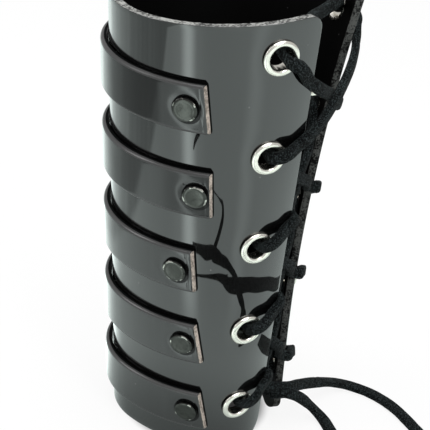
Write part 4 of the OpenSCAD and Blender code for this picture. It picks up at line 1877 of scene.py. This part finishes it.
@dataclass
class Tie:
    """The short band that holds a coil's turns together."""

    lace: Lace
    half: float = 2.5
    thick: float = 0.75
    slack: float = 1.9
    rise: float = 0.8
    swell: float = 0.12
    square: float = 0.35
    rings: int = 9
    count: int = 48

    def build(self, name: str, middle: Pair, length: float, material: bpy.types.Material) -> bpy.types.Object:
        """Makes one tie.

        Args:
            name: The piece's name.
            middle: The coil's middle.
            length: How much is wound up there.
            material: The lace's finish.

        Returns:
            The finished piece.
        """
        lace, count = self.lace, self.count
        outer = lace.coil_r - lace.coil_pitch * 0.5
        inner = lace.coil_r - lace.coil_pitch * (0.5 + math.floor(lace.loops(length) - 0.5))
        wide = (outer - inner + lace.size + self.slack) / 2
        tall = lace.size / 2 + self.rise
        a = math.radians(lace.coil_entry - 180)
        out = Vector((math.cos(a), math.sin(a), 0.0))
        along = Vector((-math.sin(a), math.cos(a), 0.0))
        centre = Vector((middle[0], middle[1], lace.coil_z)) + out * (outer + inner) / 2
        verts: list[Vector] = []
        for j in range(self.rings):
            f = 2 * j / (self.rings - 1) - 1
            swell = self.swell * (1 - f * f)
            for layer in (0.0, -self.thick):
                for k in range(count):
                    t = 2 * math.pi * k / count
                    c, s = math.cos(t), math.sin(t)
                    x = math.copysign(abs(c) ** self.square, c) * (wide - self.swell + layer + swell)
                    y = math.copysign(abs(s) ** self.square, s) * (tall - self.swell + layer + swell * 0.8)
                    verts.append(to_row(centre + out * x + Vector((0, 0, y)) + along * f * self.half))
        piece = mesh_object(name, verts, self.shell(), (material,))
        turn_outwards(piece)
        sharpen(piece, 50.0)
        return piece

    def shell(self) -> list[Sequence[int]]:
        """The faces of a tie: its outer and inner layers, and the two rims between them.

        Returns:
            The faces, as corner indices.
        """
        count, band = self.count, 2 * self.count
        faces: list[Sequence[int]] = []
        for j in range(self.rings - 1):
            for k in range(count):
                n = (k + 1) % count
                o, i = j * band, j * band + count
                faces.append((o + k, o + n, o + band + n, o + band + k))
                faces.append((i + k, i + band + k, i + band + n, i + n))
        for j in (0, self.rings - 1):
            for k in range(count):
                n = (k + 1) % count
                o, i = j * band, j * band + count
                faces.append((o + k, i + k, i + n, o + n) if j == 0 else (o + k, o + n, i + n, i + k))
        return faces


# Stage


@dataclass(frozen=True)
class Mirrored:
    """Painted reflections of lace ahead of the guard: black strips that only the gloss shows, part of the
    stage, not of the guard.

    Each stretch runs through places on the ground, with its width there as the third number, in millimetres.
    """

    height: float = 2.0
    step: float = 1.5
    loop: tuple[Point, ...] = (
        (194, 60, 1.8), (181, 80, 2.2), (170, 91, 6.0), (161, 89, 8.5), (155, 79, 8.0), (150, 66, 7.5),
        (146, 56, 9.0))
    flank: tuple[Point, ...] = (
        (154, -6, 7.0), (153, 15, 8.5), (150, 31, 11.5), (146, 53, 11.0), (138, 69, 9.5), (125, 84, 8.0),
        (117, 93, 6.0))
    riser: tuple[Point, ...] = (
        (144, 52, 9.0), (131, 77, 9.5), (113, 98, 9.5), (98, 106, 9.5), (89, 107, 10.0), (80, 107, 10.0))
    crossing: tuple[Point, ...] = (
        (116, 75, 5.0), (103, 88, 11.0), (84, 106, 14.0), (55, 125, 13.5), (21, 133, 13.0), (-17, 132, 12.0),
        (-66, 111, 12.5))
    ring: tuple[Point, ...] = (
        (84, 106, 9.0), (68, 107, 10.0), (55, 105, 9.5), (49, 100, 10.0), (44, 95, 12.0), (40, 90, 13.0))
    left: tuple[Point, ...] = (
        (134, -2, 1.8), (134, 15, 2.2), (131, 40, 3.2), (121, 68, 6.0), (106, 88, 10.0))
    mark: tuple[Point, ...] = ((254, 8, 4.5), (249, -5, 7.5), (242, -13, 6.5), (235, -17, 3.5))
    behind: tuple[Point, ...] = (
        (-5, 92, 11.0), (-17, 83, 13.0), (-29, 73, 13.0), (-39, 62, 13.0), (-45, 52, 11.0))

    def stretch(self, name: str, route: tuple[Point, ...], shade: bpy.types.Material) -> bpy.types.Object:
        """Lays one flat stretch and hides it from everything but reflections.

        Args:
            name: The stretch's name.
            route: Its places and widths.
            shade: The dead black that the gloss shows.

        Returns:
            The stretch.
        """
        path = smooth_chain([Vector(place) for place in route], self.step)
        last = len(path) - 1
        verts: list[Vector] = []
        for k, place in enumerate(path):
            way = path[min(k + 1, last)] - path[max(k - 1, 0)]
            side = Vector((-way.y, way.x, 0.0)).normalized() * (place.z / 2)
            middle = Vector((place.x, place.y, self.height))
            verts += [to_row(middle - side), to_row(middle + side)]
        faces = [(2 * k, 2 * k + 2, 2 * k + 3, 2 * k + 1) for k in range(last)]
        piece = mesh_object(name, verts, faces, (shade,), smooth=False)
        piece.visible_camera = False
        piece.visible_diffuse = False
        piece.visible_transmission = False
        piece.visible_shadow = False
        return piece

    def build(self, shade: bpy.types.Material) -> list[bpy.types.Object]:
        """Lays every stretch.

        Args:
            shade: The dead black that the gloss shows.

        Returns:
            The stage pieces.
        """
        routes = (self.loop, self.flank, self.riser, self.crossing, self.ring, self.left, self.mark,
                  self.behind)
        return [self.stretch(f"mirrored_{k}", route, shade) for k, route in enumerate(routes)]


@dataclass(frozen=True)
class Lamp:
    """One soft rectangular lamp, in metres and watts."""

    name: str
    at: Point
    size: Pair
    power: float
    aim: Point = (0.0, 0.0, 0.1)

    def light(self) -> None:
        """Puts the lamp into the scene."""
        data = bpy.data.lights.new(self.name, "AREA")
        data.shape = "RECTANGLE"
        data.size, data.size_y = self.size
        data.energy = self.power
        piece = put_in(self.name, data)
        piece.location = self.at
        piece.rotation_euler = (Vector(self.aim) - Vector(self.at)).to_track_quat("-Z", "Y").to_euler()


class FloorSpot:
    """Where a reflected ray meets the floor, in metres from the guard's axis: X ahead, Y to the right."""

    def __init__(self, sh: Shader) -> None:
        """Reads the place.

        Args:
            sh: The floor's material.
        """
        self.where = sh.place()
        self.x, self.y = sh.axis(self.where, "X"), sh.axis(self.where, "Y")
        self.left = self.y * -1.0
        self.reach = (self.x * self.x + self.y * self.y) ** 0.5
        self.away = self.reach + 0.001


@dataclass(frozen=True)
class FloorSheen:
    """How bright the floor is in reflections, as a share of white.

    A pair that ends in fade, side or start says where a change begins and where it is whole: in metres, or
    for a direction seen from the guard's axis as the sine or cosine of its angle.
    """

    level: float = 1.11
    right_more: float = 0.12
    right_fade: Pair = (0.10, 0.34)
    back_x: float = 0.03
    back_fade: Pair = (0.12, 0.75)
    back_side: Pair = (0.0, 0.04)
    glow: float = 1.3
    glow_less: Pair = (0.8, 0.25)
    glow_fade: Pair = (0.06, 0.16)
    glow_last_fade: Pair = (0.18, 0.30)
    close: float = 0.45
    close_more: float = 0.55
    close_fade: Pair = (0.028, 0.086)
    left_turn: float = 0.3
    left_fade: Pair = (0.0, 0.6)
    left_side: Pair = (0.0, 0.03)
    line_y: float = -0.158
    line_slope: float = 0.12
    line_fade: Pair = (-0.008, 0.012)
    dark: float = 0.21
    ray_dark: float = 0.30
    ray_scale: float = 13.0
    side_dark: float = 0.14
    side_fade: Pair = (0.10, 0.28)
    back_spared: float = 0.45
    strip: float = 1.55
    strip_at: Pair = (0.045, 0.016)
    strip_slope: float = 0.27
    strip_blunt: float = 0.01
    strip_start: Pair = (0.02, 0.12)
    slim: Pair = (0.20, 0.18)
    wide: Pair = (0.50, 0.40)
    wide_share: float = 0.18
    second: float = 0.32
    second_way: Pair = (0.78, 0.62)
    second_width: Pair = (0.20, 0.22)
    second_start: Pair = (0.08, 0.16)

    @staticmethod
    def ridge(slant: Val, left: float, right: float) -> Val:
        """Whole where a slant is nothing, and gone at left below it and right above it."""
        return (1.0 - slant.above(0.0, right)) * slant.above(-left, 0.0)

    def behind(self, at: FloorSpot) -> Val:
        """How much a place counts as behind the guard on its left."""
        return ((self.back_x - at.x) / at.away).above(*self.back_fade) * at.left.above(*self.back_side)

    def white(self, at: FloorSpot, back: Val) -> Val:
        """A broad white, with a glow behind the guard that grows weaker in two steps.

        Args:
            at: The place.
            back: How much it counts as behind the guard.

        Returns:
            The brightness.
        """
        first, last = self.glow_less
        glow = back * (self.glow - at.reach.above(*self.glow_fade) * first
                       - at.reach.above(*self.glow_last_fade) * last)
        return self.level + at.y.above(*self.right_fade) * self.right_more + glow

    def near(self, at: FloorSpot) -> Val:
        """What is left of it close round the guard, where a painted shadow darkens it except on the left.

        Args:
            at: The place.

        Returns:
            The share.
        """
        near = self.close + at.reach.above(*self.close_fade) * self.close_more
        left = (self.left_turn - at.x / at.away).above(*self.left_fade) * at.left.above(*self.left_side)
        return near + left * (1.0 - near)

    def shade(self, sh: Shader, at: FloorSpot, back: Val) -> Val:
        """The dark past a slanting line on the left, with soft rays that run away from the guard.

        Args:
            sh: The floor's material.
            at: The place.
            back: How much it counts as behind the guard.

        Returns:
            The share that the dark takes away.
        """
        way = sh.node("ShaderNodeVectorMath", {"operation": "NORMALIZE"}, {0: at.where})
        rays = sh.noise(way, self.ray_scale)
        past = (self.line_y - at.x * self.line_slope - at.y).above(*self.line_fade)
        side = (at.x / at.away).above(*self.side_fade)
        dark = past * (self.dark + rays * self.ray_dark + side * self.side_dark)
        return dark * (1.0 - back * self.back_spared)

    def main_strip(self, at: FloorSpot) -> Val:
        """A bright strip ahead of the guard, in a broader faint one.

        Args:
            at: The place.

        Returns:
            The brightness that it adds.
        """
        ahead = at.x - self.strip_at[0]
        blunt = (ahead * ahead + self.strip_blunt) ** 0.5
        slant = (at.y - self.strip_at[1] + ahead * self.strip_slope) / blunt
        both = self.ridge(slant, *self.slim) + self.ridge(slant, *self.wide) * self.wide_share
        return both * ahead.above(*self.strip_start) * self.strip

    def second_strip(self, at: FloorSpot) -> Val:
        """A fainter strip beside the first.

        Args:
            at: The place.

        Returns:
            The brightness that it adds.
        """
        x_share, y_share = self.second_way
        beside = (at.y * y_share - at.x * x_share) / at.away
        return self.ridge(beside, *self.second_width) * at.reach.above(*self.second_start) * self.second

    def strength(self, sh: Shader) -> Val:
        """The brightness at every place of the floor.

        Args:
            sh: The floor's material.

        Returns:
            The strength of its emission in reflections.
        """
        at = FloorSpot(sh)
        back = self.behind(at)
        broad = self.white(at, back) * self.near(at) * (1.0 - self.shade(sh, at, back))
        return broad + self.main_strip(at) + self.second_strip(at)


@dataclass
class Studio:
    """Camera, pale floor, lamps and surroundings.

    The camera's place is in millimetres of the form and its angles in degrees. The rest is in metres.
    """

    camera_at: Point = (395.03, 147.49, 323.22)
    azimuth: float = 20.461
    elevation: float = 28.510
    roll: float = 5.304
    lens: float = 98.36
    sensor: float = 36.0
    near_limit: float = 0.01
    tint: Colour = (0.895, 1.0, 0.970)
    floor_half: float = 3.0
    floor_grey: float = 0.8
    floor_glow: float = 0.88
    shade_edge: Pair = (0.026, 0.034)
    room: float = 0.55
    sheen: FloorSheen = FloorSheen()
    lamps: tuple[Lamp, ...] = (
        Lamp("overhead", (0.1, 0.1, 1.3), (1.1, 1.1), 12.0),
        Lamp("left", (0.5, -1.0, 0.8), (0.5, 0.9), 7.0),
        Lamp("right", (0.7, 1.0, 0.9), (0.4, 0.8), 6.0))

    def camera(self) -> None:
        """Sets the camera that the photograph was matched with."""
        az, el, roll = (math.radians(v) for v in (self.azimuth, self.elevation, self.roll))
        back = Vector((math.cos(el) * math.cos(az), math.cos(el) * math.sin(az), math.sin(el)))
        right = (-back).cross(Vector((0, 0, 1))).normalized()
        up = right.cross(-back).normalized()
        x = right * math.cos(roll) + up * math.sin(roll)
        y = up * math.cos(roll) - right * math.sin(roll)
        data = bpy.data.cameras.new("camera")
        data.sensor_width = self.sensor
        data.lens = self.lens
        data.clip_start = self.near_limit
        piece = put_in("camera", data)
        turn = Matrix((x, y, back)).transposed().to_4x4()
        piece.matrix_world = Matrix.Translation(to_row(self.camera_at)) @ turn
        bpy.context.scene.camera = piece

    def floor(self) -> bpy.types.Object:
        """The pale floor: white to the camera but for the shade inside the guard, and uneven in reflections.

        Returns:
            The stage piece.
        """
        sh = Shader("floor")
        seen, gloss = sh.ray("Is Camera Ray"), sh.ray("Is Glossy Ray")
        away = sh.node("ShaderNodeVectorMath", {"operation": "LENGTH"}, {0: sh.place()}, "Value")
        strength = seen * away.above(*self.shade_edge) + gloss * self.sheen.strength(sh)
        tint = sh.mix(gloss, grey(1.0), solid(self.tint))
        glow = sh.node("ShaderNodeEmission", {}, {"Color": tint, "Strength": strength}, "Emission")
        paint = sh.node("ShaderNodeBsdfDiffuse", {}, {"Color": grey(self.floor_grey)}, "BSDF")
        part = (seen * self.floor_glow + gloss).clamp()
        both = sh.node("ShaderNodeMixShader", {}, {0: part, 1: paint, 2: glow})
        sh.tree.links.new(both.socket, sh.output.inputs["Surface"])
        corners = [Vector((x * self.floor_half, y * self.floor_half, 0))
                   for x, y in ((-1, -1), (1, -1), (1, 1), (-1, 1))]
        return mesh_object("floor", corners, [(0, 1, 2, 3)], (sh.material,), smooth=False)

    def world(self) -> None:
        """White behind the object, and a plain grey room for everything else."""
        world = bpy.data.worlds.new("studio")
        bpy.context.scene.world = world
        world.use_nodes = True
        nodes, links = world.node_tree.nodes, world.node_tree.links
        nodes.clear()
        rays = nodes.new("ShaderNodeLightPath")
        room = nodes.new("ShaderNodeBackground")
        room.inputs["Color"].default_value = grey(1.0)
        room.inputs["Strength"].default_value = self.room
        white = nodes.new("ShaderNodeBackground")
        white.inputs["Strength"].default_value = 1.0
        mix = nodes.new("ShaderNodeMixShader")
        out = nodes.new("ShaderNodeOutputWorld")
        links.new(rays.outputs["Is Camera Ray"], mix.inputs[0])
        links.new(room.outputs[0], mix.inputs[1])
        links.new(white.outputs[0], mix.inputs[2])
        links.new(mix.outputs[0], out.inputs["Surface"])

    def surround(self) -> None:
        """Puts the floor, the painted lace reflections, the room and the lamps round the guard."""
        self.floor()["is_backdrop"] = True
        # Dead black for the painted lace reflections
        shade = CutEdge("stage_lace", light=(0.0005, 0.0005, 0.0005), dark=(0.0, 0.0, 0.0), level=0.0).make()
        for piece in Mirrored().build(shade):
            piece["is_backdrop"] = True
        self.world()
        for lamp in self.lamps:
            lamp.light()


# Putting it together


def dress(piece: bpy.types.Object, slot: str, *nodes: str) -> None:
    """Says what a finished piece rides on and hides the nodes that it stands for.

    Args:
        piece: The piece.
        slot: Not used.
        nodes: The nodes that it replaces.
    """
    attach(piece, BODY)
    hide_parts(*nodes)
    LOG.info("%s has %d faces", piece.name, len(piece.data.polygons))


def dress_lace() -> None:
    """Makes the lace: its free ends with their ties, and the lacing between the flaps."""
    lace = Lace()
    suede = Suede().make()
    held = lace.held()
    held_length = chain_length(held)
    LOG.info("lacing is %.1f mm long", held_length)
    for side, start, route, middle, seed in (("right", held[-1], lace.right_route, lace.right_coil, 3),
                                             ("left", held[0], lace.left_route, lace.left_coil, 4)):
        chain, wound = lace.free(start, route, middle, held_length)
        end, path = lace.sweep(f"lace_end_{side}", chain, suede, seed)
        length = chain_length(path)
        tie = Tie(lace).build(f"tie_{side}", middle, wound, suede)
        # The free ends stay out of reflections; the stage's painted lace reflections stand in for lace in the
        # gloss
        end.visible_glossy = False
        tie.visible_glossy = False
        dress(end, "lace", f"lace_tail_{side}", f"lace_coil_{side}")
        dress(tie, "lace", f"coil_tie_{side}")
        LOG.info("%s free end is %.1f mm long, of which %.1f wound up", side, length / MM, wound)
    lacing, _ = lace.sweep("lacing_visible", held, suede, 1)
    dress(lacing, "lace", "lacing")


def dress_leather() -> None:
    """Makes the sheet and its five bands."""
    sheet = Sheet().build({
        SheetFace.OUTER: PatentLeather("sheet_leather").make(),
        SheetFace.RIM: CutEdge("sheet_edge").make(),
        SheetFace.LINING: PatentLeather("sheet_lining", 0.0015, gloss=0.0, rough=0.6, level=0.04).make(),
        SheetFace.CUT: CutEdge("flap_edge", (0.085, 0.090, 0.085), (0.002, 0.002, 0.002), level=0.1).make(),
    })
    dress(sheet, "sheet_leather", "shell")
    finishes = {
        BandFace.GLOSS: BandLeather().make(),
        BandFace.END: CutEdge("band_end", (0.50, 0.44, 0.38), (0.16, 0.14, 0.12)).make(),
        # Near-black cut sides: the edge's own black, darkened as painted shade of the gap under the band;
        # also the painted shade on each end's lower part
        BandFace.SIDE: CutEdge("band_side", (0.003, 0.004, 0.004), (0.001, 0.001, 0.001), level=0.05).make(),
        # The rounded edges get a lighter grey than the face: painted light on the edges
        BandFace.BEAD: BandLeather("band_bead", depth=0.042, gloss=0.25, rough=0.45).make(),
    }
    bands = Bands()
    for i in LEVELS:
        dress(bands.build(i, finishes), "band_leather", f"strap_{i}")


def dress_metal() -> None:
    """Makes the rivets and the eyelets."""
    # The caps' plating carries painted glints and painted shade
    gunmetal = CapPlating("gunmetal", (0.060, 0.062, 0.057), rough=0.16, stain=0.35).make()
    nickel = Plating("nickel", (0.86, 0.835, 0.76), rough=0.22, haze=0.08, dents=0.00004).make()
    caps, backs = Rivets().build(gunmetal)
    eyelets = Eyelets().build(nickel)
    for piece, slot, node in ((caps, "gunmetal", "rivet_cap"), (backs, "gunmetal", "rivet_post"),
                              (eyelets, "nickel", "eyelet")):
        dress(piece, slot, *(f"{node}_{side.name.lower()}_{i}" for side in Side for i in LEVELS))


def corner(bound: Iterable[float]) -> list[float]:
    """A corner as a plain list."""
    return [float(v) for v in bound]


def main() -> None:
    """Builds the guard around its frame."""
    logging.basicConfig(level=logging.INFO, format="%(name)s: %(message)s")
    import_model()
    cad_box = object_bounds()
    bpy.context.scene.view_settings.view_transform = "Standard"
    studio = Studio()
    studio.camera()
    dress_lace()
    dress_leather()
    dress_metal()
    studio.surround()
    {"cad": [corner(c) for c in cad_box], "visual": [corner(c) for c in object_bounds()]}


if __name__ == "__main__":
    main()
